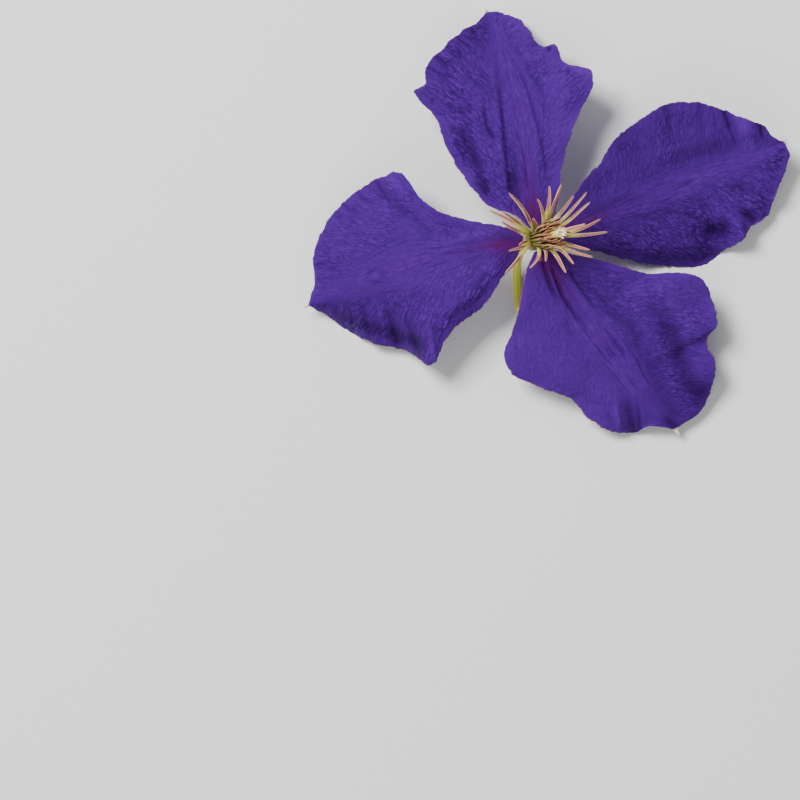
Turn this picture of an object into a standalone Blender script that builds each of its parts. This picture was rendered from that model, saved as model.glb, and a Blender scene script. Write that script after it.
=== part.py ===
"""A clematis bloom picked with a short stalk and laid face up on a surface.

Four broad violet tepals spread from the receptacle at the head of a bent stalk. A crown of
strap-shaped stamens stands on the receptacle, leaning with the bloom, round a tuft of styles.

Places are measured in millimetres from the middle of the receptacle: x to the right and y up as
the bloom is looked down on, and z up from the surface that it lies on. The finished objects are
in metres, with the origin under the middle of the whole bloom.
"""
import math

import bmesh
import bpy
import numpy as np

MM = 0.001

# The receptacle's middle, from the middle of the whole bloom's outline.
FLOWER_X = -3.315
FLOWER_Y = -4.7

# The bloom's face leans towards +x, and the pistil leans further the same way.
HEAD_HEIGHT = 15.0
HEAD_TILT = math.radians(20)
HEAD_HEADING = math.radians(8)
PISTIL_TILT = math.radians(29)
PISTIL_HEADING = math.radians(11)

SEAT_GAP = 0.3

TEPAL_THICK = 0.75
LEAST_UPRIGHT = 0.62  # of a tepal's normal, where its thickness is worked out
TEPAL_ROWS = 36
# Places across half a tepal, as shares of its half width: midrib, grooves and side ribs, then blade.
ACROSS = (0.0, 0.11, 0.22, 0.33, 0.46, 0.64, 0.82, 1.0)
RIB_PITCH = 0.22
RIB_REACH = 0.55
RIB_HEIGHT = 0.5
RIB_RISE = 0.2
RIB_FALL = 1.2
CROSS_CURVE = 1.7
RIPPLE_HEIGHT = 0.45
RIPPLE_ONSET = 3
RIPPLES = 5.5

RECEPTACLE_RADIUS = 2.3
RECEPTACLE_RISE = 0.8
# Below the receptacle's rim the neck narrows to the stalk: depths, and shares of the radius there.
NECK_DEPTHS = (-RECEPTACLE_RISE, 0.9, 1.9, 3.2)
NECK_TAPER = (1.0, 1.0, 0.72, 0.52)
STALK_RADIUS = 0.95
STALK_SIDES = 10
STALK_STEPS = 32
STALK_LEVEL = (1.0, 0.35, 0.0)
STALK_FLAT = 0.06  # lower points of the stalk lie on the surface

CORE_RADIUS = 2.5
CORE_TOP_RADIUS = 1.9
CORE_HEIGHT = 2.2
CORE_SIDES = 16
ROOT_DEPTH = 1.2
SPREAD_ROOT_RADIUS = 1.6

STAMEN_WIDTH = 1.05
STAMEN_THICK = 0.6
STAMEN_STEPS = 6
# A stamen's reach each way from its middle line, in shares of its size, from its root to its tip.
STAMEN_SHARES = (0.0, 0.45, 0.65, 0.9, 1.0)
STAMEN_WIDTHS = (0.62, 0.6, 0.72, 0.66, 0.34)
STAMEN_THICKS = (0.71, 0.71, 0.71, 0.71, 0.5)
SPREAD_CHORD = 14.0
SHORT_REACH = 6.0
SHORT_CHORD = 9.0
LEAST_SLOPE = 0.18
BOW_RISE = 0.3
BOW_REACH = 0.25

# Each ring of the brush: its radius, its count, its length and its splay in degrees.
BRUSH_RINGS = ((1.75, 12, 9.0, 2.0), (2.15, 12, 8.0, 13.0))
BRUSH_TURN_SPREAD = 0.15
BRUSH_LENGTH_SPREAD = 0.6
BRUSH_SPLAY_SPREAD = 4.0

PISTIL_RADIUS = 0.9
PISTIL_LENGTH = 9.8
PISTIL_LIFT = 0.3  # clears the rim of its foot, which leans, from the core
PISTIL_SIDES = 10
# The column's radius along it, in shares of its own length and radius.
PISTIL_SHARES = (0.0, 0.6, 0.85, 1.0)
PISTIL_SWELL = (0.9, 0.9, 1.05, 1.25)
STYLE_COUNT = 12
STYLE_LENGTH = 2.4
STYLE_WIDTH = 0.7
STYLE_SPLAY = 0.5
STYLE_LENGTHS = (0.7, 1.0)  # the shortest and the longest, in shares of the full length
STYLE_TAPER = (1.0, 1.0, 0.5)
STYLE_SIDES = 5

SEED = 7

# The colour and roughness of each material.
TEPAL_FINISH = ((0.075, 0.035, 0.27), 0.55)
STAMEN_FINISH = ((0.62, 0.42, 0.16), 0.6)
PISTIL_FINISH = ((0.9, 0.84, 0.55), 0.5)
STALK_FINISH = ((0.42, 0.5, 0.1), 0.5)
SHARP_EDGE = math.radians(50)
GOLDEN_ANGLE = math.pi * (3 - math.sqrt(5))

# Each tepal: its midrib from receptacle to tip, then its margins on the left and the right hand as
# one looks from the receptacle to the tip. The ripple phases are the left and right margins' own.
# A fold runs between two places seen from above, with its half width and its height: below 0 it is
# a hollow.
TEPALS = {
    "tepal_top": {
        "midrib": [(0.2, 2.7, 14.9), (0.0, 6.0, 14.9), (-0.5, 14.4, 14.6), (-1.9, 26.4, 12.6),
                   (-5.0, 38.4, 8.6), (-7.9, 48.0, 3.8), (-10.4, 54.0, 0.3), (-11.4, 56.4, 0.2)],
        "left": [(-1.1, 2.7, 15.0), (-4.0, 5.4, 15.4), (-10.3, 7.7, 15.6), (-14.6, 12.0, 15.2),
                 (-18.2, 17.3, 14.6), (-21.6, 23.8, 13.6), (-23.3, 29.0, 13.2), (-28.6, 35.5, 12.4),
                 (-25.8, 37.9, 9.4), (-25.9, 40.6, 9.8), (-21.6, 46.3, 7.2), (-17.0, 50.6, 5.6),
                 (-12.5, 53.8, 0.9), (-11.4, 56.4, 0.2)],
        "right": [(1.5, 2.7, 14.8), (4.2, 4.6, 14.8), (5.9, 9.0, 15.0), (6.6, 15.5, 15.2),
                  (8.4, 23.3, 14.4), (11.2, 30.6, 14.0), (14.2, 37.4, 14.4), (13.9, 40.0, 14.0),
                  (7.2, 43.0, 10.0), (5.4, 46.9, 9.4), (2.2, 46.9, 5.6), (0.2, 49.0, 6.6),
                  (-2.4, 53.0, 3.4), (-7.2, 55.2, 0.9), (-11.4, 56.4, 0.2)],
        "phases": (0.4, 2.6),
        "folds": [((-6.9, 28.8), (-5.8, 11.0), 1.5, -0.7), ((-9.6, 31.0), (-8.2, 12.0), 2.0, 0.6),
                  ((-8.4, 52.0), (-3.8, 42.0), 1.6, -0.6), ((-6.7, 46.8), (0.0, 31.2), 1.6, 0.5)],
    },
    "tepal_right": {
        "midrib": [(2.7, 0.7, 14.1), (5.5, 1.8, 13.1), (10.0, 3.6, 11.6), (20.9, 7.7, 9.0),
                   (35.3, 13.2, 7.0), (47.3, 18.0, 6.4), (56.9, 21.6, 7.0), (61.7, 24.4, 8.0)],
        "left": [(2.4, 1.9, 14.2), (4.8, 5.0, 13.6), (8.4, 9.2, 13.0), (11.6, 13.6, 12.6),
                 (16.1, 18.7, 12.4), (19.4, 24.0, 12.6), (25.7, 28.8, 12.2), (32.4, 32.7, 11.6),
                 (39.4, 33.0, 11.6), (46.3, 31.0, 9.6), (52.6, 28.4, 11.6), (55.8, 27.2, 9.4),
                 (58.0, 24.6, 8.6), (61.7, 24.4, 8.0)],
        "right": [(3.1, -0.5, 13.9), (5.6, -0.7, 13.0), (8.4, -1.1, 11.8), (13.7, -2.4, 9.4),
                  (19.0, -3.6, 6.6), (25.7, -5.3, 3.6), (34.1, -6.1, 1.0), (42.0, -5.6, -0.4),
                  (46.5, -2.2, 1.6), (50.4, -0.2, 5.0), (52.6, 3.1, 5.2), (55.8, 5.2, 4.2),
                  (57.8, 8.2, 3.6), (58.4, 10.6, 5.4), (60.2, 15.0, 6.0), (61.8, 20.2, 7.4),
                  (61.7, 24.4, 8.0)],
        "phases": (1.3, 4.4),
        "folds": [((40.6, 1.9), (46.3, 1.0), 3.2, -1.8), ((46.8, 6.7), (51.1, 0.5), 2.0, 1.0),
                  ((50.2, 8.6), (53.5, 4.3), 1.6, -0.8), ((51.6, 11.5), (55.4, 6.7), 1.8, 0.7),
                  ((46.6, 30.7), (49.7, 21.6), 2.4, -1.1), ((54.0, 27.6), (55.7, 21.6), 1.8, 0.7),
                  ((19.0, 0.0), (25.7, -4.3), 1.8, 0.5)],
    },
    "tepal_lower": {
        "midrib": [(1.2, -2.5, 14.9), (2.9, -5.3, 14.5), (7.7, -12.0, 13.4), (16.1, -24.0, 11.0),
                   (23.3, -33.6, 8.4), (30.5, -42.0, 5.4), (35.8, -47.0, 2.6)],
        "left": [(2.4, -1.9, 14.7), (5.6, -2.7, 14.0), (10.1, -3.7, 13.2), (16.1, -4.9, 12.2),
                 (22.1, -6.5, 10.8), (27.6, -8.0, 9.4), (34.0, -7.8, 10.2), (40.4, -9.2, 10.4),
                 (43.0, -14.4, 9.8), (44.2, -20.6, 9.0), (41.9, -23.5, 6.4), (43.9, -29.6, 8.2),
                 (42.9, -36.4, 5.0), (40.0, -42.0, 3.2), (37.4, -44.6, 2.8), (35.8, -47.0, 2.6)],
        "right": [(0.1, -3.1, 15.0), (-1.3, -6.2, 14.8), (-2.6, -11.0, 14.2), (-3.6, -17.3, 12.6),
                  (-5.3, -22.6, 10.8), (-7.0, -27.6, 9.0), (-5.6, -31.4, 7.8), (1.4, -35.2, 7.4),
                  (9.4, -38.4, 5.6), (14.2, -43.4, 4.6), (20.0, -46.2, 3.0), (25.2, -46.2, 1.8),
                  (27.8, -44.8, 4.0), (33.0, -45.7, 3.4), (35.8, -47.0, 2.6)],
        "phases": (5.2, 0.9),
        "folds": [((2.4, -7.2), (7.9, -21.6), 1.5, -0.7), ((5.5, -8.4), (13.2, -20.4), 1.5, -0.6),
                  ((16.1, -10.8), (25.7, -21.1), 2.6, -1.2), ((25.7, -21.1), (35.3, -30.0), 3.0, -1.4),
                  ((35.3, -30.0), (38.2, -38.9), 3.0, -1.2), ((41.8, -23.5), (35.3, -22.8), 1.6, -0.8),
                  ((22.6, -38.9), (24.2, -45.0), 1.6, -1.0), ((26.9, -38.4), (28.0, -44.4), 1.6, 0.6)],
    },
    "tepal_left": {
        "midrib": [(-2.7, -0.5, 15.8), (-6.0, -1.1, 16.4), (-12.7, -1.9, 17.0), (-24.7, -4.3, 16.4),
                   (-36.7, -8.4, 13.0), (-46.3, -12.0, 8.6), (-52.6, -14.8, 5.0), (-55.2, -16.1, 3.8)],
        "left": [(-2.9, -1.8, 15.7), (-4.6, -5.4, 15.4), (-7.2, -8.8, 15.0), (-10.2, -13.6, 13.6),
                 (-13.0, -16.8, 12.0), (-17.6, -20.2, 12.0), (-20.8, -23.6, 12.2), (-24.0, -30.0, 9.4),
                 (-30.7, -26.4, 3.6), (-38.6, -24.7, 3.0), (-45.2, -21.2, -0.4), (-51.2, -17.2, 2.4),
                 (-55.2, -16.1, 3.8)],
        "right": [(-2.5, 0.8, 15.8), (-5.0, 2.3, 16.2), (-10.4, 3.6, 16.8), (-17.5, 5.0, 16.8),
                  (-22.6, 6.6, 16.4), (-26.2, 9.1, 15.8), (-32.9, 16.3, 11.6), (-37.5, 14.7, 9.8),
                  (-45.4, 9.2, 8.8), (-50.4, 3.1, 6.4), (-52.8, -3.8, 5.6), (-52.7, -10.8, 4.2),
                  (-55.2, -16.1, 3.8)],
        "phases": (2.2, 3.7),
        "folds": [((-38.6, -22.1), (-27.1, -22.8), 2.6, -1.5), ((-19.4, -15.6), (-23.8, -28.3), 2.2, 1.3),
                  ((-17.0, -17.3), (-20.4, -22.0), 1.5, -0.8), ((-38.6, 13.7), (-33.8, 8.4), 1.6, -0.6),
                  ((-29.5, 9.6), (-24.2, 1.2), 1.8, -0.6)],
    },
}

# The stalk's middle line below the receptacle, bending down to lie along the surface.
STALK_BEND = [(-2.2, -1.2, 9.0), (-3.2, -3.6, 5.8), (-3.7, -7.2, 3.0), (-3.5, -11.2, 1.4),
              (-3.1, -15.5, 0.92), (-2.0, -20.0, 0.9), (0.4, -25.0, 0.9), (4.6, -30.0, 0.9),
              (10.2, -34.4, 0.9), (16.5, -38.0, 0.9)]

# Where the tips of the spreading stamens stand, seen from above, going round from the left.
SPREAD_TIPS = [(-11.0, 6.6), (-7.9, 6.0), (-8.0, 3.8), (-6.1, 10.7), (-3.2, 6.8), (0.3, 9.1),
               (3.4, 12.3), (6.3, 12.9), (9.4, 10.0), (12.5, 11.3), (13.5, 8.6), (11.9, 3.5),
               (16.1, 4.7), (17.7, 1.6), (13.2, -2.6), (14.0, -4.5), (9.3, -6.1), (7.5, -8.3),
               (2.8, -5.5), (1.1, -5.6), (-1.2, -7.3), (-7.1, -8.6), (-6.2, -3.4), (-3.7, -1.9)]


def leaning(tilt, heading):
    """The unit vector that leans from +z by tilt, towards heading."""
    return np.array([math.sin(tilt) * math.cos(heading), math.sin(tilt) * math.sin(heading), math.cos(tilt)])


HEAD = np.array([0.0, 0.0, HEAD_HEIGHT])
HEAD_AXIS = leaning(HEAD_TILT, HEAD_HEADING)
PISTIL_AXIS = leaning(PISTIL_TILT, PISTIL_HEADING)
CORE_FOOT = HEAD + (RECEPTACLE_RISE + SEAT_GAP) * HEAD_AXIS
CORE_TOP = CORE_FOOT + CORE_HEIGHT * HEAD_AXIS


def side_axes(axis):
    """Two unit vectors square to axis and to each other, the first of them level."""
    level = np.cross([0.0, 0.0, 1.0], axis)
    level = level / np.linalg.norm(level)
    return level, np.cross(axis, level)


def smooth_curve(points, shares):
    """The smooth curve through the points, read at the given shares of its chord length."""
    points = np.array(points, float)
    steps = np.linalg.norm(np.diff(points, axis=0), axis=1)
    knots = np.concatenate([[0.0], np.cumsum(steps)]) / steps.sum()
    spans = np.diff(knots)
    slopes = np.diff(points, axis=0) / spans[:, None]
    before, after = spans[:-1, None], spans[1:, None]
    inner = (slopes[:-1] * after + slopes[1:] * before) / (before + after)
    tangents = np.vstack([slopes[:1], inner, slopes[-1:]])
    shares = np.asarray(shares, float)
    i = np.clip(np.searchsorted(knots, shares, side="right") - 1, 0, len(spans) - 1)
    span = spans[i][:, None]
    u = (shares[:, None] - knots[i][:, None]) / span
    return (
        (2 * u**3 - 3 * u**2 + 1) * points[i]
        + (u**3 - 2 * u**2 + u) * span * tangents[i]
        + (3 * u**2 - 2 * u**3) * points[i + 1]
        + (u**3 - u**2) * span * tangents[i + 1]
    )


def relief(along, across, phase):
    """Height of the ribs and the margin's ripple at a share along a tepal and across half of it."""
    lengthwise = (1 - np.exp(-along / RIB_RISE)) * (1 - along) ** RIB_FALL
    sideways = np.clip(1 - across / RIB_REACH, 0, 1)
    ribs = RIB_HEIGHT * lengthwise * sideways * np.cos(2 * math.pi * across / RIB_PITCH)
    ripple_fade = across**RIPPLE_ONSET * np.sqrt(np.sin(math.pi * along))
    return ribs + RIPPLE_HEIGHT * ripple_fade * np.sin(2 * math.pi * RIPPLES * along + phase)


def fold_height(x, y, folds):
    """Height of the folds at places seen from above."""
    total = np.zeros_like(x)
    for (x0, y0), (x1, y1), half_width, height in folds:
        run_x, run_y = x1 - x0, y1 - y0
        share = np.clip(((x - x0) * run_x + (y - y0) * run_y) / (run_x**2 + run_y**2), 0, 1)
        squared = (x - x0 - share * run_x) ** 2 + (y - y0 - share * run_y) ** 2
        total += height * np.exp(-squared / half_width**2)
    return total


def tepal_sheet(tepal):
    """The middle surface of a tepal, as rows of points from the left margin to the right one."""
    along = np.linspace(0, 1, TEPAL_ROWS + 1)
    midrib = smooth_curve(tepal["midrib"], along)[:, None, :]
    halves = []
    for side, phase in zip(("left", "right"), tepal["phases"]):
        margin = smooth_curve(tepal[side], along)[:, None, :]
        across = np.array(ACROSS)[None, :]
        half = midrib + across[:, :, None] * (margin - midrib)
        lift = across**CROSS_CURVE * (margin - midrib)[:, :, 2]
        half[:, :, 2] = midrib[:, :, 2] + lift + relief(along[:, None], across, phase)
        halves.append(half)
    sheet = np.concatenate([halves[0][:, :0:-1], halves[1]], axis=1)
    sheet[:, :, 2] += fold_height(sheet[:, :, 0], sheet[:, :, 1], tepal["folds"])
    return sheet


def half_depths(sheet):
    """Half of the tepal's thickness as it is measured upright, more where the sheet is steep."""
    along, across = np.gradient(sheet, axis=(0, 1))
    normals = np.cross(along, across)
    upright = np.abs(normals[:, :, 2]) / np.maximum(np.linalg.norm(normals, axis=2), 1e-9)
    upright[-1] = 1.0
    return TEPAL_THICK / 2 / np.maximum(upright, LEAST_UPRIGHT)


def new_object(name, mesh_maker, finish):
    """A named object whose mesh is filled by mesh_maker, in metres from the bloom's origin."""
    bm = bmesh.new()
    mesh_maker(bm)
    for vertex in bm.verts:
        x, y, z = vertex.co
        vertex.co = ((x + FLOWER_X) * MM, (y + FLOWER_Y) * MM, z * MM)
    bmesh.ops.recalc_face_normals(bm, faces=bm.faces)
    mesh = bpy.data.meshes.new(name)
    bm.to_mesh(mesh)
    bm.free()
    made = bpy.data.objects.new(name, mesh)
    bpy.context.scene.collection.objects.link(made)
    finish_mesh(name, mesh, finish)
    return made


def finish_mesh(name, mesh, finish):
    """Smooth shading and the piece's own material."""
    mesh.shade_smooth()
    mesh.set_sharp_from_angle(angle=SHARP_EDGE)
    mesh.materials.clear()
    mesh.materials.append(plain_material(name, *finish))


def plain_material(name, colour, roughness):
    """A Principled material of one colour."""
    found = bpy.data.materials.get(name) or bpy.data.materials.new(name)
    found.use_nodes = True
    shader = found.node_tree.nodes["Principled BSDF"]
    shader.inputs["Base Color"].default_value = (*colour, 1.0)
    shader.inputs["Roughness"].default_value = roughness
    shader.inputs["Metallic"].default_value = 0.0
    return found


def add_blade(bm, sheet):
    """A closed blade round a sheet of points. Both faces are split into triangles alike, and the
    last row is one point, the tip. The underside is flat where it would reach below the surface."""
    depths = half_depths(sheet)
    under = sheet.copy()
    over = sheet.copy()
    under[:, :, 2] = np.maximum(under[:, :, 2] - depths, 0.0)
    over[:, :, 2] = np.maximum(over[:, :, 2] + depths, under[:, :, 2] + TEPAL_THICK)
    last, width = sheet.shape[0] - 1, sheet.shape[1] - 1
    layers = []
    for layer in (under, over):
        rows = [[bm.verts.new(point) for point in row] for row in layer[:last]]
        rows.append([bm.verts.new(layer[last, width // 2])] * (width + 1))
        layers.append(rows)
    low, high = layers

    def add_triangle(*corners):
        if len(set(corners)) == 3:
            bm.faces.new(corners)

    for i in range(last):
        for j in range(width):
            near, far = (i, j), (i, j + 1)
            up_near, up_far = (i + 1, j), (i + 1, j + 1)
            if j < width // 2:
                halves = ((near, far, up_far), (near, up_far, up_near))
            else:
                halves = ((near, far, up_near), (far, up_far, up_near))
            for half in halves:
                add_triangle(*[high[r][c] for r, c in half])
                add_triangle(*[low[r][c] for r, c in reversed(half)])
        for j in (0, width):
            add_triangle(low[i][j], low[i + 1][j], high[i + 1][j])
            add_triangle(low[i][j], high[i + 1][j], high[i][j])
    for j in range(width):
        add_triangle(low[0][j], low[0][j + 1], high[0][j + 1])
        add_triangle(low[0][j], high[0][j + 1], high[0][j])


def add_sweep(bm, path, wide, thick, sides, level=None):
    """A closed solid along a path. Its section, with one side facing down, reaches wide and thick from
    the path at each point, and level is the direction that the width keeps to."""
    path = np.array(path, float)
    tangents = np.gradient(path, axis=0)
    tangents /= np.linalg.norm(tangents, axis=1)[:, None]
    rings = []
    for point, tangent, half_wide, half_thick in zip(path, tangents, wide, thick):
        across = np.cross([0.0, 0.0, 1.0], tangent) if level is None else np.array(level, float)
        across = across - tangent * (across @ tangent)
        across /= np.linalg.norm(across)
        normal = np.cross(tangent, across)
        turns = [2 * math.pi * (k + 0.5) / sides - math.pi / 2 for k in range(sides)]
        rings.append([
            bm.verts.new(point + across * half_wide * math.cos(turn) + normal * half_thick * math.sin(turn))
            for turn in turns
        ])
    for ring, following in zip(rings, rings[1:]):
        for k in range(sides):
            after = (k + 1) % sides
            bm.faces.new((ring[k], ring[after], following[after], following[k]))
    bm.faces.new(rings[0])
    bm.faces.new(reversed(rings[-1]))


def fill_cavities(mesh):
    """Removes every shell but the widest one, so that spaces closed in by a union become solid."""
    bm = bmesh.new()
    bm.from_mesh(mesh)
    unseen = set(bm.faces)
    shells = []
    while unseen:
        shell = [unseen.pop()]
        for face in shell:
            near = {other for edge in face.edges for other in edge.link_faces} & unseen
            unseen -= near
            shell.extend(near)
        shells.append(shell)
    widest = max(shells, key=lambda shell: sum(face.calc_area() for face in shell))
    inner = [face for shell in shells if shell is not widest for face in shell]
    bmesh.ops.delete(bm, geom=inner, context="FACES")
    bm.to_mesh(mesh)
    bm.free()


def join_shapes(name, makers, finish):
    """One solid: the union of the closed shapes that the makers fill in, the first as its core."""
    core = new_object(name, makers[0], finish)
    repeats = bpy.data.collections.new(name + "_repeats")
    bpy.context.scene.collection.children.link(repeats)
    for i, maker in enumerate(makers[1:]):
        piece = new_object(f"{name}_{i}", maker, finish)
        bpy.context.scene.collection.objects.unlink(piece)
        repeats.objects.link(piece)
    union = core.modifiers.new("union", "BOOLEAN")
    union.operation = "UNION"
    union.operand_type = "COLLECTION"
    union.collection = repeats
    union.solver = "EXACT"
    union.use_self = True
    bpy.context.view_layer.update()
    graph = bpy.context.evaluated_depsgraph_get()
    whole = bpy.data.meshes.new_from_object(core.evaluated_get(graph))
    core.modifiers.clear()
    fill_cavities(whole)
    finish_mesh(name, whole, finish)
    core.data = whole
    for piece in list(repeats.objects):
        bpy.data.objects.remove(piece)
    bpy.data.collections.remove(repeats)


def bowed_path(root, tip):
    """A stamen's middle line: it stands up from its root and bows over to its tip."""
    bow = root + BOW_RISE * np.linalg.norm(tip - root) * HEAD_AXIS + BOW_REACH * (tip - root)
    t = np.linspace(0, 1, STAMEN_STEPS + 1)[:, None]
    return (1 - t) ** 2 * root + 2 * t * (1 - t) * bow + t**2 * tip


def stamen_maker(path, level):
    """Fills in one stamen: a slim filament that widens into the anther and ends in a blunt tip."""
    share = np.linspace(0, 1, len(path))
    wide = STAMEN_WIDTH * np.interp(share, STAMEN_SHARES, STAMEN_WIDTHS)
    thick = STAMEN_THICK * np.interp(share, STAMEN_SHARES, STAMEN_THICKS)

    def fill(bm):
        add_sweep(bm, path, wide, thick, 4, level)

    return fill


def spread_stamens():
    """The outer stamens, each from the core's side to its tip."""
    for x, y in SPREAD_TIPS:
        outward = np.array([x, y, 0.0]) - CORE_FOOT * (1, 1, 0)
        outward /= np.linalg.norm(outward)
        root = CORE_FOOT + 0.5 * CORE_HEIGHT * HEAD_AXIS + SPREAD_ROOT_RADIUS * outward
        reach = math.hypot(x - root[0], y - root[1])
        chord = SPREAD_CHORD if reach > SHORT_REACH else SHORT_CHORD
        rise = math.sqrt(max(chord**2 - reach**2, (LEAST_SLOPE * reach) ** 2))
        tip = np.array([x, y, root[2] + rise])
        level = np.cross([0.0, 0.0, 1.0], outward)
        yield stamen_maker(bowed_path(root, tip), level)


def brush_stamens(draw):
    """The inner stamens, in close rings that stand up round the pistil."""
    first, second = side_axes(PISTIL_AXIS)
    for radius, count, length, splay in BRUSH_RINGS:
        for k in range(count):
            shift = draw.uniform(-BRUSH_TURN_SPREAD, BRUSH_TURN_SPREAD)
            turn = 2 * math.pi * (k + shift) / count + radius
            outward = math.cos(turn) * first + math.sin(turn) * second
            level = np.cross(PISTIL_AXIS, outward)
            lean = math.tan(math.radians(splay + draw.uniform(0, BRUSH_SPLAY_SPREAD)))
            rise = length + ROOT_DEPTH + draw.uniform(-BRUSH_LENGTH_SPREAD, BRUSH_LENGTH_SPREAD)
            root = CORE_TOP + radius * outward - ROOT_DEPTH * PISTIL_AXIS
            t = np.linspace(0, 1, STAMEN_STEPS + 1)[:, None]
            yield stamen_maker(root + rise * t * (PISTIL_AXIS + lean * outward), level)


def make_stamens(draw):
    """Every stamen, fused with the core that they grow from."""
    def fill_core(bm):
        lengths = np.array([0.0, CORE_HEIGHT])
        radii = np.array([CORE_RADIUS, CORE_TOP_RADIUS])
        add_sweep(bm, CORE_FOOT + lengths[:, None] * HEAD_AXIS, radii, radii, CORE_SIDES)

    join_shapes("stamens", [fill_core, *spread_stamens(), *brush_stamens(draw)], STAMEN_FINISH)


def make_pistil(draw):
    """The styles, a slim column that opens into a tuft of short fingers."""
    foot = CORE_TOP + SEAT_GAP * HEAD_AXIS + PISTIL_LIFT * PISTIL_AXIS
    first, second = side_axes(PISTIL_AXIS)

    def fill_column(bm):
        lengths = np.array(PISTIL_SHARES) * PISTIL_LENGTH
        radii = np.array(PISTIL_SWELL) * PISTIL_RADIUS
        add_sweep(bm, foot + lengths[:, None] * PISTIL_AXIS, radii, radii, PISTIL_SIDES)

    makers = [fill_column]
    top = foot + PISTIL_LENGTH * PISTIL_AXIS
    for k in range(STYLE_COUNT):
        share = (k + 0.5) / STYLE_COUNT
        turn = k * GOLDEN_ANGLE
        outward = math.cos(turn) * first + math.sin(turn) * second
        root = top + PISTIL_RADIUS * math.sqrt(share) * outward - ROOT_DEPTH * PISTIL_AXIS
        length = ROOT_DEPTH + STYLE_LENGTH * draw.uniform(*STYLE_LENGTHS)
        t = np.linspace(0, 1, len(STYLE_TAPER))[:, None]
        path = root + length * t * (PISTIL_AXIS + STYLE_SPLAY * share * outward)

        def fill_style(bm, path=path):
            radii = STYLE_WIDTH / 2 * np.array(STYLE_TAPER)
            add_sweep(bm, path, radii, radii, STYLE_SIDES)

        makers.append(fill_style)
    join_shapes("pistil", makers, PISTIL_FINISH)


def make_stalk():
    """The stalk with the receptacle at its head, cut square at its far end."""
    neck = HEAD - np.array(NECK_DEPTHS)[:, None] * HEAD_AXIS
    neck_radii = np.array(NECK_TAPER) * RECEPTACLE_RADIUS
    shares = np.linspace(0, 1, STALK_STEPS + 1)
    bend = smooth_curve([neck[-1], *STALK_BEND], shares)[1:]
    path = np.vstack([neck, bend])
    radii = np.concatenate([neck_radii, np.full(len(bend), STALK_RADIUS)])

    def fill(bm):
        add_sweep(bm, path, radii, radii, STALK_SIDES, STALK_LEVEL)
        for vertex in bm.verts:
            if vertex.co.z < STALK_FLAT:
                vertex.co.z = 0.0

    new_object("stalk", fill, STALK_FINISH)


def make_tepals():
    """The four tepals, whose roots stand round the receptacle a seat gap clear of it."""
    for name, tepal in TEPALS.items():
        sheet = tepal_sheet(tepal)

        def fill(bm, sheet=sheet):
            add_blade(bm, sheet)

        new_object(name, fill, TEPAL_FINISH)


def main():
    for old in list(bpy.data.objects):
        bpy.data.objects.remove(old)
    draw = np.random.default_rng(SEED)
    make_stalk()
    make_tepals()
    make_stamens(draw)
    make_pistil(draw)


main()
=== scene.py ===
"""The looks of a violet clematis bloom that lies face up on a pale floor.

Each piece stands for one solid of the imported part: four tepals with ribs, crinkled veins and thin
waved margins, a crown of stamens round a tuft of feathery styles, and a bent stalk.

Places are measured in millimetres from the middle of the receptacle: x to the right and y up as
the bloom is looked down on, and z up from the floor. Finished meshes are in metres.
"""
import math

import bpy
import numpy as np
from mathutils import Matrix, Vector


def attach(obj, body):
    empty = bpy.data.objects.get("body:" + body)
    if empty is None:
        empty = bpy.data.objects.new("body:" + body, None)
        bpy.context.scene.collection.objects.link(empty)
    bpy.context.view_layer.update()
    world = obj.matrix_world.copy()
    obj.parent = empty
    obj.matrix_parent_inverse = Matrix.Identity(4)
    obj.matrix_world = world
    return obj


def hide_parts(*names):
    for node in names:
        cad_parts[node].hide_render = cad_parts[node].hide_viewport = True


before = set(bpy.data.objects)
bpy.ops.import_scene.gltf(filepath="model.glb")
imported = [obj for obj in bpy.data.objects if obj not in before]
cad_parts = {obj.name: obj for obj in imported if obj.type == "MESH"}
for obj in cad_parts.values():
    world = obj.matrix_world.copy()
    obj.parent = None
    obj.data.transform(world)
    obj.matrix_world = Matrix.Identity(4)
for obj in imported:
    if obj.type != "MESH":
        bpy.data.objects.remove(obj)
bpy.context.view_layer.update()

MM = 0.001

# The receptacle's middle, from the middle of the bloom's outline.
FLOWER_X = -3.315
FLOWER_Y = -4.7

# The camera looks straight down, and the bloom lies up and to the right of its middle.
CAMERA_X = -35.235
CAMERA_Y = -43.1
CAMERA_HEIGHT = 1200.0
VIEW_WIDTH = 192.0  # of the picture, at the height of the tepals
VIEW_LEVEL = 10.0
SENSOR = 36.0

HEAD_HEIGHT = 15.0
HEAD_TILT = math.radians(20)
HEAD_HEADING = math.radians(8)
PISTIL_TILT = math.radians(29)
PISTIL_HEADING = math.radians(11)

# A tepal's grid: rows from root to tip, and columns from the midrib to each margin.
ROWS = 290
COLUMNS = 118
BLADE_THICK = 0.42
RIB_THICK = 0.2  # what the main ribs add to it
EDGE_POWER = 14  # of the rounding at the margin: the higher, the tighter
ROOT_ROWS = 4  # over which the root's edge is rounded

# The main ribs and the margin's ripple, as on the plain solids.
RIB_PITCH = 0.22
RIB_REACH = 0.55
RIB_HEIGHT = 0.5
RIB_RISE = 0.2
RIB_FALL = 1.2
CROSS_CURVE = 1.7
RIPPLE_HEIGHT = 0.45
RIPPLE_ONSET = 3
RIPPLES = 5.5

# Side veins leave the midrib almost along it, fan out over the first few millimetres, and bend
# towards the tip further out.
VEIN_BEND = 0.006
FAN = 4.5
FAN_REACH = 4.0

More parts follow.
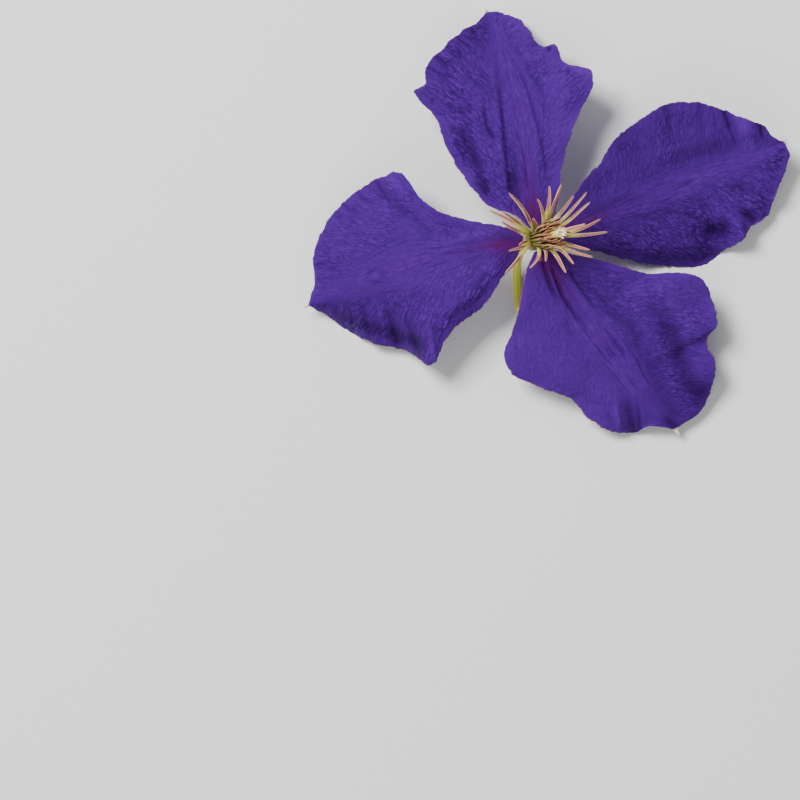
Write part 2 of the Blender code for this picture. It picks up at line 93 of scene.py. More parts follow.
# The skin swells between the veins in long rows, with rounder beads among them. Each has a width
# and a length in cells, and a share of the height beside the midrib and near the margin.
ROW_SIZE = (0.8, 4.0)
ROW_SHARES = (0.35, 0.8)
BEAD_SIZE = (1.15, 2.2)
BEAD_SHARES = (0.75, 0.4)
SMOOTH_STRIP = 3.2  # along the margin, with lower crinkles
DEEP_STRIP = (6.5, 2.0)  # along the margin, where some tepals have deeper ones
STRAND_SIZE = (1.1, 3.2)  # of the fine strands that run along the midrib
STRAND_HEIGHT = 0.06
SWELL_HEIGHT = 0.07

# The margin's notches, coarse and fine: how deep and how long.
NOTCHES = ((0.4, 2.1), (0.2, 0.7))
NOTCH_POWER = 12
FRILL_HEIGHT = 0.3
FRILL_LENGTH = 1.5
FRILL_STRIP = 3.6

# The small spike at a tepal's tip: half its width, how it tapers, and the share of the blade's own
# width that is left beside it.
MUCRO_WIDTH = 0.36
MUCRO_TAPER = (-0.1, 0.8)
TIP_PINCH = 0.2

# Painted light and shade on the skin: how light it is on average, how much its crinkles and
# strands lighten it on their crests and darken it in their creases, and how much painted shade
# lies beside the midrib.
CREST_LEVEL = 0.6
CREST_CRINKLES = 3.6
CREST_STRANDS = 0.35
CREST_MIDRIB = 0.14

NOISE_SPAN = 256  # bumps before the noise repeats

RECEPTACLE_RADIUS = 2.75
RECEPTACLE_RISE = 1.0
NECK_DEPTHS = (-RECEPTACLE_RISE, -0.6, 0.0, 0.9, 1.9, 3.2)
NECK_TAPER = (0.55, 0.92, 1.0, 0.93, 0.62, 0.42)
STALK_RADIUS = 0.93
STALK_SIDES = 24
STALK_STEPS = 120
STALK_LEVEL = (1.0, 0.35, 0.0)
STALK_RIDGES = 6
STALK_RIDGE_HEIGHT = 0.05

CORE_LIFT = 1.1
CORE_HEIGHT = 2.2
CORE_SUNK = 0.7  # into the receptacle
CORE_RADIUS = 2.5
CORE_TOP_RADIUS = 1.9
CORE_TIP_RADIUS = 0.6
CORE_SHOULDER = 1.87  # how high its top begins to close
CORE_FOOT_RADIUS = 2.2
SPREAD_ROOT_RADIUS = 1.6
ROOT_DEPTH = 1.2

STAMEN_STEPS = 30
STAMEN_SIDES = 14
# A stamen's half width and half thickness in millimetres, from its root to its tip.
STAMEN_SHARES = (0.0, 0.25, 0.45, 0.6, 0.8, 0.93, 0.985, 1.0)
STAMEN_WIDTHS = (0.26, 0.33, 0.44, 0.46, 0.38, 0.29, 0.2, 0.03)
STAMEN_THICKS = (0.24, 0.2, 0.17, 0.2, 0.2, 0.17, 0.12, 0.02)
STAMEN_WAVE = 0.25
STAMEN_TWIST = 35  # degrees either way, at the tip
# Where the anther begins, on a spreading stamen and on one of the upright brush.
SPREAD_ANTHER = (0.42, 0.56)
BRUSH_ANTHER = (0.58, 0.68)
SPREAD_CHORD = 14.0
SHORT_REACH = 6.0
SHORT_CHORD = 9.0
LEAST_SLOPE = 0.18
BOW_RISE = 0.3
BOW_REACH = 0.25

# Each ring of the brush: radius, count, length, splay in degrees and half width.
BRUSH_RINGS = ((1.15, 15, 8.4, 0.5, 0.2), (1.5, 19, 8.9, 2.0, 0.22), (1.85, 23, 8.7, 4.5, 0.24),
               (2.2, 24, 7.8, 9.0, 0.26))

PISTIL_LENGTH = 9.8
PISTIL_RADIUS = 0.88
STYLE_COUNT = 22
STYLE_SPREAD = 0.72  # of their roots, round the column's middle
STYLE_LENGTH = 1.3
STYLE_RADIUS = 0.19
STYLE_HAIRS = 12
HAIR_LENGTH = 0.28
HAIR_RADIUS = 0.028

GOLDEN_ANGLE = math.pi * (3 - math.sqrt(5))
SEED = 11

# Each tepal: its midrib from receptacle to tip, then its margins on the left and the right hand as
# one looks from the receptacle to the tip, where both meet the midrib.
# "phases" shifts the ripple along each margin, "tone" is painted light over the whole skin above 0
# and painted shade below 0, "mucro" is the length of the spike at the tip, and "ribs" is the share of
# the main ribs' height.
# "veins" gives for each half how far a side vein runs ahead for each millimetre outwards, how high
# its crinkles are, the size of their cells, and how much higher they are near the margin.
TEPALS = {
    "tepal_top": {
        "midrib": [(0.2, 2.7, 14.9), (0.0, 6.0, 14.9), (-0.5, 14.4, 14.6), (-1.9, 26.4, 12.6),
                   (-5.0, 38.4, 8.6), (-7.9, 48.0, 3.8), (-10.4, 54.0, 0.3), (-11.4, 56.4, 0.2)],
        "left": [(-1.1, 2.7, 15.0), (-4.0, 5.4, 15.4), (-10.3, 7.7, 15.6), (-14.6, 12.0, 15.2),
                 (-18.2, 17.3, 14.6), (-21.6, 23.8, 13.6), (-23.3, 29.0, 13.2), (-28.6, 35.5, 12.4),
                 (-25.8, 37.9, 9.4), (-25.9, 40.6, 9.8), (-21.6, 46.3, 7.2), (-17.0, 50.6, 5.6),
                 (-12.5, 53.8, 0.9)],
        "right": [(1.5, 2.7, 14.8), (4.2, 4.6, 14.8), (5.9, 9.0, 15.0), (6.6, 15.5, 15.2),
                  (8.4, 23.3, 14.4), (11.2, 30.6, 14.0), (14.2, 37.4, 14.4), (13.9, 40.0, 14.0),
                  (7.2, 43.0, 10.0), (5.4, 46.9, 9.4), (2.2, 46.9, 5.6), (0.2, 49.0, 6.6),
                  (-2.4, 53.0, 3.4), (-7.2, 55.2, 0.9)],
        "phases": (0.4, 2.6), "tone": -0.15, "mucro": 1.3, "ribs": 0.15,
        "veins": {"left": (1.1, 0.3, 1.0, 0.05), "right": (0.5, 0.2, 0.9, 0.05)},
    },
    "tepal_right": {
        "midrib": [(2.7, 0.7, 14.1), (5.5, 1.8, 13.1), (10.0, 3.6, 11.6), (20.9, 7.7, 9.0),
                   (35.3, 13.2, 7.0), (47.3, 18.0, 6.4), (56.9, 21.6, 7.0), (61.7, 24.4, 8.0)],
        "left": [(2.4, 1.9, 14.2), (4.8, 5.0, 13.6), (8.4, 9.2, 13.0), (11.6, 13.6, 12.6),
                 (16.1, 18.7, 12.4), (19.4, 24.0, 12.6), (25.7, 28.8, 12.2), (32.4, 32.7, 11.6),
                 (39.4, 33.0, 11.6), (46.3, 31.0, 9.6), (52.6, 28.4, 11.6), (55.8, 27.2, 9.4),
                 (58.0, 24.6, 8.6)],
        "right": [(3.1, -0.5, 13.9), (5.6, -0.7, 13.0), (8.4, -1.1, 11.8), (13.7, -2.4, 9.4),
                  (19.0, -3.6, 6.6), (25.7, -5.3, 3.6), (34.1, -6.1, 1.0), (42.0, -5.6, -0.4),
                  (46.5, -2.2, 1.6), (50.4, -0.2, 5.0), (52.6, 3.1, 5.2), (55.8, 5.2, 4.2),
                  (57.8, 8.2, 3.6), (58.4, 10.6, 5.4), (60.2, 15.0, 6.0), (61.8, 20.2, 7.4)],
        "phases": (1.3, 4.4), "tone": -0.15, "mucro": 1.8, "ribs": 0.05,
        "veins": {"left": (0.15, 0.18, 1.0, 0.0), "right": (0.48, 0.35, 1.05, 0.05)},
    },
    "tepal_lower": {
        "midrib": [(1.2, -2.5, 14.9), (2.9, -5.3, 14.5), (7.7, -12.0, 13.4), (16.1, -24.0, 11.0),
                   (23.3, -33.6, 8.4), (30.5, -42.0, 5.4), (35.8, -47.0, 2.6)],
        "left": [(2.4, -1.9, 14.7), (5.6, -2.7, 14.0), (10.1, -3.7, 13.2), (16.1, -4.9, 12.2),
                 (22.1, -6.5, 10.8), (27.6, -8.0, 9.4), (34.0, -7.8, 10.2), (40.4, -9.2, 10.4),
                 (43.0, -14.4, 9.8), (44.2, -20.6, 9.0), (41.9, -23.5, 8.0), (43.9, -29.6, 8.2),
                 (42.9, -36.4, 5.0), (40.0, -42.0, 3.2), (37.4, -44.6, 2.8)],
        "right": [(0.1, -3.1, 15.0), (-1.3, -6.2, 14.8), (-2.6, -11.0, 14.2), (-3.6, -17.3, 12.6),
                  (-5.3, -22.6, 10.8), (-7.0, -27.6, 9.0), (-5.6, -31.4, 7.8), (1.4, -35.2, 7.4),
                  (9.4, -38.4, 5.6), (14.2, -43.4, 4.6), (20.0, -46.2, 3.0), (25.2, -46.2, 1.8),
                  (27.8, -44.8, 4.0), (33.0, -45.7, 3.4)],
        "phases": (5.2, 0.9), "tone": -0.03, "mucro": 2.8, "ribs": 0.3,
        "veins": {"left": (0.7, 0.21, 0.95, 0.0), "right": (1.2, 0.1, 0.8, 0.0)},
    },
    "tepal_left": {
        "midrib": [(-2.7, -0.5, 15.8), (-6.0, -1.1, 16.4), (-12.7, -1.9, 17.0), (-24.7, -4.3, 16.4),
                   (-36.7, -8.4, 13.0), (-46.3, -12.0, 8.6), (-52.6, -14.8, 5.0), (-55.2, -16.1, 3.8)],
        "left": [(-2.9, -1.8, 15.7), (-4.6, -5.4, 15.4), (-7.2, -8.8, 15.0), (-10.2, -13.6, 13.6),
                 (-13.0, -16.8, 12.0), (-17.6, -20.2, 12.0), (-20.8, -23.6, 12.2), (-24.0, -30.0, 9.4),
                 (-30.7, -26.4, 3.6), (-38.6, -24.7, 3.0), (-45.2, -21.2, -0.4), (-51.2, -17.2, 2.4)],
        "right": [(-2.5, 0.8, 15.8), (-5.0, 2.3, 16.2), (-10.4, 3.6, 16.8), (-17.5, 5.0, 16.8),
                  (-22.6, 6.6, 16.4), (-26.2, 9.1, 15.8), (-32.9, 16.3, 11.6), (-37.5, 14.7, 9.8),
                  (-45.4, 9.2, 8.8), (-50.4, 3.1, 6.4), (-52.8, -3.8, 5.6), (-52.7, -10.8, 4.2)],
        "phases": (2.2, 3.7), "tone": -0.22, "mucro": 1.8, "ribs": 0.1,
        "veins": {"left": (0.7, 0.21, 0.9, 0.2), "right": (1.1, 0.19, 0.85, 0.06)},
    },
}

# The shallow folds of each tepal: each has its path seen from above, its half width, its height and
# its tone, the painted light and shade that go with it. Height and tone grow along the path. Below 0,
# a height is a hollow and a tone is painted shade; above 0, a tone is painted light.
FOLDS = {
    "tepal_top": [
        ([(-8.5, 46.3), (-7.6, 35.5), (-6.8, 27.1), (-5.9, 17.5), (-5.4, 12.2)], 0.7, -0.5, -0.2),
        ([(-9.5, 43.9), (-8.8, 35.5), (-8.0, 27.1), (-7.3, 19.9)], 0.9, 0.35, 0.0),
        ([(-10.2, 55.0), (-6.4, 46.8), (-2.5, 39.8), (-0.4, 34.3), (1.1, 28.3), (2.5, 22.3),
          (3.2, 16.3)], 0.6, -0.45, -0.15),
        ([(-7.8, 47.5), (-4.4, 41.0), (-2.0, 35.0), (-0.6, 29.5)], 1.0, 0.1, -0.05),
        ([(-5.9, 24.7), (-4.4, 16.1), (-3.7, 10.3)], 1.2, -0.2, -0.4),
        ([(-3.2, 25.9), (-2.0, 19.9), (-1.1, 12.7)], 0.5, -0.35, -0.1),
        ([(-11.6, 34.3), (-11.4, 30.0), (-10.9, 27.1), (-9.5, 24.5)], 0.5, -0.5, -0.45),
        ([(-7.8, 53.0), (-4.0, 47.5), (-0.1, 41.5), (2.8, 35.5), (3.7, 31.4)], 1.2, -0.5, -0.1),
        ([(-17.9, 41.0), (-20.8, 42.5), (-23.2, 44.6)], 0.6, -0.6, -0.35),
        ([(-15.0, 43.4), (-18.4, 45.4), (-21.5, 47.5)], 0.5, -0.5, -0.3),
        ([(-19.3, 38.6), (-22.2, 39.8), (-25.3, 41.8)], 0.5, -0.5, -0.3),
        ([(-11.6, 46.8), (-13.6, 49.7), (-15.0, 52.6)], 0.5, -0.5, -0.3),
        ([(-14.0, 45.8), (-16.4, 48.0), (-18.6, 49.9)], 0.5, -0.4, -0.25),
        ([(-19.3, 29.5), (-16.0, 23.3), (-13.6, 18.7)], 1.9, -0.4, -0.3),
        ([(-16.7, 26.6), (-14.0, 19.9), (-11.6, 11.8)], 1.2, -0.2, -0.35),
        ([(-13.6, 15.6), (-11.2, 11.3)], 1.4, -0.2, -0.3),
        ([(-5.6, 17.0), (-5.2, 11.5)], 1.0, -0.3, -0.4),
        ([(5.6, 42.5), (13.3, 40.1)], 2.2, 0.5, 0.2),
        ([(2.5, 48.2), (4.0, 45.8)], 0.5, -0.5, -0.6),
    ],
    "tepal_right": [
        ([(49.8, 22.3), (47.6, 27.6), (46.0, 31.9)], 0.8, -1.2, -0.3),
        ([(46.9, 34.8), (50.3, 28.1), (52.2, 23.3)], 2.2, 0.15, 0.45),
        ([(54.6, 25.2), (53.2, 29.5)], 1.0, 0.6, 0.0),
        ([(55.6, 24.7), (54.1, 28.6)], 0.6, -0.6, -0.3),
        ([(25.8, 15.6), (38.3, 20.6), (52.2, 24.0)], 2.2, -0.4, -0.28),
        ([(30.6, 11.3), (21.0, 8.9), (13.8, 6.2)], 1.2, -0.2, -0.3),
        ([(25.3, 10.8), (40.2, 14.2), (56.0, 20.6)], 3.4, 0.0, 0.02),
        ([(41.2, 1.7), (46.0, 2.6)], 2.2, -1.8, -0.6),
        ([(49.6, 5.0), (50.8, 1.2)], 1.1, 0.9, 0.1),
        ([(50.3, 7.4), (53.6, 5.0)], 0.9, -1.2, -0.5),
        ([(51.7, 9.6), (55.3, 6.7)], 0.8, 0.7, 0.1),
        ([(18.6, -2.2), (28.2, -4.6), (37.8, -4.6), (43.1, -3.4)], 1.9, -0.4, -0.3),
        ([(17.6, 4.1), (25.8, 4.6), (34.4, 7.0)], 1.7, -0.3, -0.12),
        ([(33.5, 24.7), (32.5, 32.4)], 1.2, -0.4, -0.1),
        ([(41.6, 24.2), (40.2, 32.4)], 1.2, -0.4, -0.12),
        ([(54.6, 12.2), (57.5, 11.3)], 0.7, -0.4, -0.2),
    ],
    "tepal_lower": [
        ([(6.4, -15.4), (4.2, -11.3), (2.5, -6.0)], 0.6, -0.7, -0.75),
        ([(14.3, -23.3), (10.2, -18.2), (7.1, -13.7), (4.7, -7.7)], 0.6, -0.7, -0.7),
        ([(8.5, -16.8), (5.6, -11.8), (3.5, -6.0)], 0.5, 0.3, 0.1),
        ([(15.2, -19.9), (12.4, -15.1), (9.0, -9.8)], 1.1, 0.2, 0.12),
        ([(17.2, -19.0), (13.8, -14.6), (11.4, -11.8), (9.2, -8.4)], 0.4, -0.4, -0.35),
        ([(12.4, -8.6), (17.4, -14.9), (21.5, -19.0), (25.8, -22.8)], 0.9, -0.4, -0.22),
        ([(16.2, -9.8), (11.4, -6.0), (6.6, -2.6)], 2.2, 0.0, 0.4),
        ([(27.2, -12.7), (31.6, -19.9), (34.7, -25.2), (37.8, -33.8)], 2.6, -0.9, -0.6),
        ([(44.0, -22.3), (42.1, -29.5)], 1.9, 0.0, -0.25),
        ([(25.8, -31.0), (31.1, -37.2), (34.4, -41.5)], 2.6, -0.2, -0.3),
        ([(18.6, -16.6), (25.3, -24.2), (31.1, -33.4)], 2.6, -0.4, -0.25),
        ([(37.8, -38.2), (41.2, -36.2)], 2.6, -0.4, -0.6),
        ([(22.0, -37.2), (23.6, -41.5), (24.4, -45.8)], 1.4, -0.6, -0.6),
        ([(20.0, -38.2), (21.2, -45.8)], 0.7, 0.5, 0.1),
        ([(25.3, -38.2), (26.3, -45.4)], 0.5, -0.4, -0.35),
        ([(31.6, -42.5), (34.4, -44.9)], 1.0, -0.5, -0.6),
    ],
    "tepal_left": [
        ([(-24.1, 1.7), (-32.3, 8.4), (-38.5, 14.2)], 1.7, -0.5, -0.2),
        ([(-33.2, 7.4), (-37.8, 14.4)], 0.4, -0.25, -0.25),
        ([(-35.2, 9.8), (-40.0, 13.2)], 0.4, -0.2, -0.2),
        ([(-37.6, 8.2), (-41.9, 11.3)], 0.4, -0.25, -0.25),
        ([(-40.0, 5.3), (-46.0, 8.9)], 0.4, -0.2, -0.2),
        ([(-41.9, 3.6), (-47.2, 6.7)], 0.4, -0.2, -0.18),
        ([(-43.8, 8.9), (-45.5, 10.3)], 0.3, -0.2, -0.15),
        ([(-33.7, 9.1), (-28.9, 5.5), (-24.1, 1.2)], 0.5, -0.2, -0.2),
        ([(-28.9, 8.9), (-34.7, 15.4)], 1.4, 0.3, 0.2),
        ([(-48.6, -16.1), (-43.8, -19.0), (-38.5, -21.1), (-32.8, -22.6),
          (-27.0, -24.7)], 1.7, -0.3, -0.4),
        ([(-41.4, -15.1), (-40.0, -19.0), (-39.2, -23.8)], 0.8, -0.45, -0.25),
        ([(-35.2, -15.6), (-33.5, -19.9), (-32.5, -24.5)], 0.8, -0.5, -0.3),
        ([(-31.3, -16.6), (-29.2, -21.4), (-27.0, -27.6)], 1.0, -0.7, -0.35),
        ([(-36.6, -15.6), (-35.9, -19.9), (-35.4, -24.2)], 0.7, 0.3, 0.2),
        ([(-26.5, -16.6), (-24.6, -21.8), (-23.6, -28.6)], 1.1, 0.5, 0.2),
        ([(-44.3, -15.1), (-43.3, -18.5), (-43.1, -21.8)], 0.6, -0.3, -0.2),
        ([(-9.2, -9.8), (-14.0, -14.2), (-19.8, -19.0)], 0.9, -0.2, -0.3),
        ([(-35.4, -4.6), (-22.2, -1.2), (-9.0, 1.7)], 1.0, 0.15, 0.14),
        ([(-27.0, -19.0), (-21.2, -16.6), (-16.0, -12.7)], 3.1, 0.0, 0.3),
        ([(-24.6, -1.7), (-17.4, 0.7), (-10.2, 2.2)], 2.2, 0.0, 0.16),
        ([(-36.6, -11.8), (-22.2, -9.4), (-11.6, -5.5)], 3.6, 0.0, 0.3),
        ([(-8.3, 0.0), (-4.0, -1.0)], 1.2, -0.2, -0.4),
        ([(-45.7, 4.8), (-50.5, 7.0)], 0.5, -0.3, -0.22),
        ([(-47.2, 1.7), (-51.7, 2.6)], 0.4, -0.3, -0.18),
        ([(-48.1, -2.2), (-52.7, -1.4)], 0.5, -0.3, -0.22),
        ([(-47.6, -5.3), (-52.4, -6.0)], 0.5, -0.3, -0.22),
        ([(-47.2, -8.9), (-51.7, -9.6)], 0.4, -0.2, -0.15),
    ],
}

# The stalk's middle line below the receptacle, bending down to lie along the surface.
STALK_BEND = [(-2.2, -1.2, 9.0), (-3.2, -3.6, 5.8), (-3.7, -7.2, 3.0), (-3.5, -11.2, 1.4),
              (-3.1, -15.5, 0.92), (-2.0, -20.0, 0.9), (0.4, -25.0, 0.9), (4.6, -30.0, 0.9),
              (10.2, -34.4, 0.9), (16.5, -38.0, 0.9)]

# The spreading stamens, going round from the left: where the tip stands, seen from above, and how
# far the middle bows to the left hand of the line from root to tip.
SPREAD = [(-11.0, 6.6, 0.2), (-7.9, 6.0, 0.1), (-8.0, 3.8, 0.6), (-6.1, 10.7, 0.0), (-3.2, 6.8, 0.3),
          (-0.2, 4.7, 0.1), (0.3, 9.1, -1.0), (3.4, 12.3, -0.2), (6.3, 12.9, 0.0), (9.4, 10.0, 0.4),
          (12.5, 11.3, -0.6), (13.5, 8.6, -0.35), (11.9, 3.5, -0.2), (16.1, 4.7, -0.7),
          (17.7, 1.6, -0.1), (13.2, -2.6, -0.3), (14.0, -4.5, -0.5), (9.3, -6.1, 0.3),
          (7.5, -8.3, 0.15), (2.8, -5.5, 0.1), (1.1, -5.6, -0.1), (-1.2, -7.3, 0.5),
          (-7.1, -8.6, -0.7), (-6.2, -3.4, 0.0), (-3.7, -1.9, -0.4)]


def linear(red, green, blue):
    """A colour given as display values from 0 to 255, as the light values that shaders take."""
    shares = [part / 255 for part in (red, green, blue)]
    return (*[s / 12.92 if s <= 0.04045 else ((s + 0.055) / 1.055) ** 2.4 for s in shares], 1.0)


VIOLET = linear(85, 37, 144)
# Painted light on the lit sides of folds.
PAINTED_LIGHT_VIOLET = linear(104, 54, 172)
# Painted shade in the creases of the crinkles.
SHADE_VIOLET = linear(51, 20, 94)
# Painted shade in creases, hollows and over whole tepals; also the own darker colour of the fine veins
# beside the midrib.
SHADE_AND_VEIN_VIOLET = linear(26, 8, 50)
RED_BAR = linear(76, 14, 82)
MARGIN = linear(128, 86, 118)
UNDERSIDE = linear(108, 84, 158)
UNDER_RIB = linear(112, 116, 96)
FILAMENT = linear(206, 202, 100)
FILAMENT_ROOT = linear(160, 146, 152)
ANTHER = linear(176, 104, 98)
ANTHER_DARK = linear(128, 74, 70)
ANTHER_EDGE = linear(236, 194, 146)
# The brush's filaments: olive green, darkened with painted shade for the shade among the close brush.
BRUSH_GREEN = linear(112, 104, 44)
BRUSH_SALMON = linear(172, 104, 58)
STYLE_CREAM = linear(255, 250, 214)
STYLE_FOOT = linear(240, 214, 112)
STALK_GREEN = linear(250, 255, 88)
# Painted shade in the stalk's grooves; also the colour of its darker streaks.
STALK_SHADE_AND_STREAK = linear(224, 234, 64)
NECK_GREEN = linear(136, 130, 84)
TIP_CREAM = linear(226, 206, 186)
SHEEN = linear(150, 110, 255)
FLOOR_COLOUR = linear(240, 240, 238)

# The studio, in metres and watts: the floor's side, and each lamp's name, place, side and power.
FLOOR_SIDE = 6.0
LAMPS = (("key", (-0.58, 0.52, 1.0), 0.5, 26.0), ("fill", (-0.25, -0.85, 0.75), 0.7, 3.6))
SKY_STRENGTH = 0.36


def leaning(tilt, heading):
    """The unit vector that leans from +z by tilt, towards heading."""
    level = math.sin(tilt)
    return np.array([level * math.cos(heading), level * math.sin(heading), math.cos(tilt)])


HEAD = np.array([0.0, 0.0, HEAD_HEIGHT])
HEAD_AXIS = leaning(HEAD_TILT, HEAD_HEADING)
PISTIL_AXIS = leaning(PISTIL_TILT, PISTIL_HEADING)
CORE_FOOT = HEAD + CORE_LIFT * HEAD_AXIS
CORE_TOP = CORE_FOOT + CORE_HEIGHT * HEAD_AXIS


def side_axes(axis):
    """Two unit vectors square to axis and to each other, the first of them level."""
    level = np.cross([0.0, 0.0, 1.0], axis)
    level = level / np.linalg.norm(level)
    return level, np.cross(axis, level)


def around(first, second, turn):
    """The direction at a turn from the first axis towards the second."""
    return math.cos(turn) * first + math.sin(turn) * second


def smooth_curve(points, shares):
    """The smooth curve through the points, read at the given shares of its chord length."""
    points = np.array(points, float)
    steps = np.linalg.norm(np.diff(points, axis=0), axis=1)
    knots = np.concatenate([[0.0], np.cumsum(steps)]) / steps.sum()
    spans = np.diff(knots)
    slopes = np.diff(points, axis=0) / spans[:, None]
    before, after = spans[:-1, None], spans[1:, None]
    inner = (slopes[:-1] * after + slopes[1:] * before) / (before + after)
    tangents = np.vstack([slopes[:1], inner, slopes[-1:]])
    shares = np.asarray(shares, float)
    i = np.clip(np.searchsorted(knots, shares, side="right") - 1, 0, len(spans) - 1)
    span = spans[i][:, None]
    u = (shares[:, None] - knots[i][:, None]) / span
    return (
        (2 * u**3 - 3 * u**2 + 1) * points[i]
        + (u**3 - 2 * u**2 + u) * span * tangents[i]
        + (3 * u**2 - 2 * u**3) * points[i + 1]
        + (u**3 - u**2) * span * tangents[i + 1]
    )


def rise(value, low, high):
    """0 below low and 1 above high, with a smooth climb between; low may be the higher one."""
    share = np.clip((value - low) / (high - low), 0, 1)
    return share**2 * (3 - 2 * share)


def between(first, second, share):
    """The value that lies a share of the way from the first to the second."""
    return first + (second - first) * share


def noise(u, v, seed):
    """Smooth noise between about -1 and 1, with about one bump to a unit."""
    u, v = np.broadcast_arrays(u, v)
    turns = np.random.default_rng(seed).uniform(0, 2 * math.pi, (NOISE_SPAN, NOISE_SPAN))
    column, row = np.floor(u).astype(int), np.floor(v).astype(int)
    total = np.zeros_like(u)
    for i in (0, 1):
        for j in (0, 1):
            away_u, away_v = u - column - i, v - row - j
            turn = turns[(column + i) % NOISE_SPAN, (row + j) % NOISE_SPAN]
            weight = rise(np.abs(away_u), 1, 0) * rise(np.abs(away_v), 1, 0)
            total += weight * (np.cos(turn) * away_u + np.sin(turn) * away_v)
    return 1.6 * total


def pillows(u, v, seed):
    """Rounded bumps from 0 to 1 with sharp creases between them, about one to a unit. Some are lower."""
    u, v = np.broadcast_arrays(u, v)
    draw = np.random.default_rng(seed)
    shift_u, shift_v, height = draw.uniform(0, 1, (3, NOISE_SPAN, NOISE_SPAN))
    column, row = np.floor(u).astype(int), np.floor(v).astype(int)
    nearest = np.full(u.shape, 9.0)
    second = np.full(u.shape, 9.0)
    chosen = np.zeros(u.shape)
    for i in (-1, 0, 1):
        for j in (-1, 0, 1):
            cell = (column + i) % NOISE_SPAN, (row + j) % NOISE_SPAN
            away = np.hypot(u - column - i - shift_u[cell], v - row - j - shift_v[cell])
            closer = away < nearest
            second = np.where(closer, nearest, np.minimum(second, away))
            chosen = np.where(closer, height[cell], chosen)
            nearest = np.minimum(nearest, away)
    return (1 - np.exp(-(second - nearest) / 0.3)) * (0.45 + 0.55 * chosen)


def relief(along, across, phase, rib_share):
    """Height of the ribs and the margin's ripple at a share along a tepal and across half of it."""
    lengthwise = (1 - np.exp(-along / RIB_RISE)) * (1 - along) ** RIB_FALL
    sideways = np.clip(1 - across / RIB_REACH, 0, 1)
    ribs = rib_share * RIB_HEIGHT * lengthwise * sideways * np.cos(2 * math.pi * across / RIB_PITCH)
    ripple_fade = across**RIPPLE_ONSET * np.sqrt(np.sin(math.pi * along))
    return ribs + RIPPLE_HEIGHT * ripple_fade * np.sin(2 * math.pi * RIPPLES * along + phase)


def fold_values(x, y, folds):
    """The height of the folds, and the tone of their painted light and shade, at places seen from above.
    """
    height, tone = np.zeros_like(x), np.zeros_like(x)
    for path, half_width, rise_up, shade in folds:
        squared = np.full(x.shape, np.inf)
        along = np.zeros_like(x)
        for i, ((x0, y0), (x1, y1)) in enumerate(zip(path, path[1:])):
            run_x, run_y = x1 - x0, y1 - y0
            share = np.clip(((x - x0) * run_x + (y - y0) * run_y) / (run_x**2 + run_y**2), 0, 1)
            away = (x - x0 - share * run_x) ** 2 + (y - y0 - share * run_y) ** 2
            along = np.where(away < squared, (i + share) / (len(path) - 1), along)
            squared = np.minimum(squared, away)
        strength = np.exp(-squared / half_width**2) * rise(along, -0.2, 0.6)
        height += rise_up * strength
        tone += shade * strength
    return height, tone


def half_outline(whole, from_tip, mucro):
    """The way from the midrib to the margin, pinched behind the slim spike at the tip, and its width."""
    whole_width = np.linalg.norm(whole[:, :, :2], axis=2)
    width = whole_width * between(TIP_PINCH, 1.0, rise(from_tip, 0.6 * mucro, 1.7 * mucro))
    spike = MUCRO_WIDTH * rise(from_tip, *MUCRO_TAPER)
    width = np.maximum(width, np.minimum(spike, 3 * whole_width))
    return whole * (width / np.maximum(whole_width, 1e-6))[:, :, None], width


def notched(forward, across, seed):
    """How far the margin's notches and teeth move each point outwards."""
    depths = [depth * noise(forward / run, 0.0, seed + i) for i, (depth, run) in enumerate(NOTCHES)]
    return sum(depths) * across**NOTCH_POWER


def vein_places(points, midrib, forward, run_share, seed):
    """Each point's place across its side vein and along it, how far it lies from the midrib, and how
    far its vein wanders."""
    axis = (midrib[-1, 0] - midrib[0, 0])[:2]
    axis = axis / np.linalg.norm(axis)
    ahead = (points[:, :, :2] - midrib[0, 0, :2]) @ axis
    sideways = np.abs((points[:, :, :2] - midrib[:, :, :2]) @ np.array([-axis[1], axis[0]]))
    wander = 0.7 * noise(forward / 5, sideways / 4, seed + 3)
    wander += 0.2 * noise(forward / 1.3, sideways, seed + 10)
    slant = math.hypot(1, run_share)
    fan = FAN * (1 - np.exp(-sideways / FAN_REACH))
    vein = (ahead - run_share * sideways - fan - VEIN_BEND * sideways**2) / slant + wander
    reach = (sideways + run_share * ahead) / slant
    return vein, reach, sideways, wander


def crinkle_height(vein, reach, across, cell, seed):
    """The swellings between the veins, from 0 to about 1."""
    rows = pillows(vein / (ROW_SIZE[0] * cell), reach / (ROW_SIZE[1] * cell), seed)
    beads = pillows(vein / (BEAD_SIZE[0] * cell), reach / (BEAD_SIZE[1] * cell), seed + 1)
    outer = rise(across, 0.3, 0.8)
    return between(*ROW_SHARES, outer) * rows + between(*BEAD_SHARES, outer) * beads


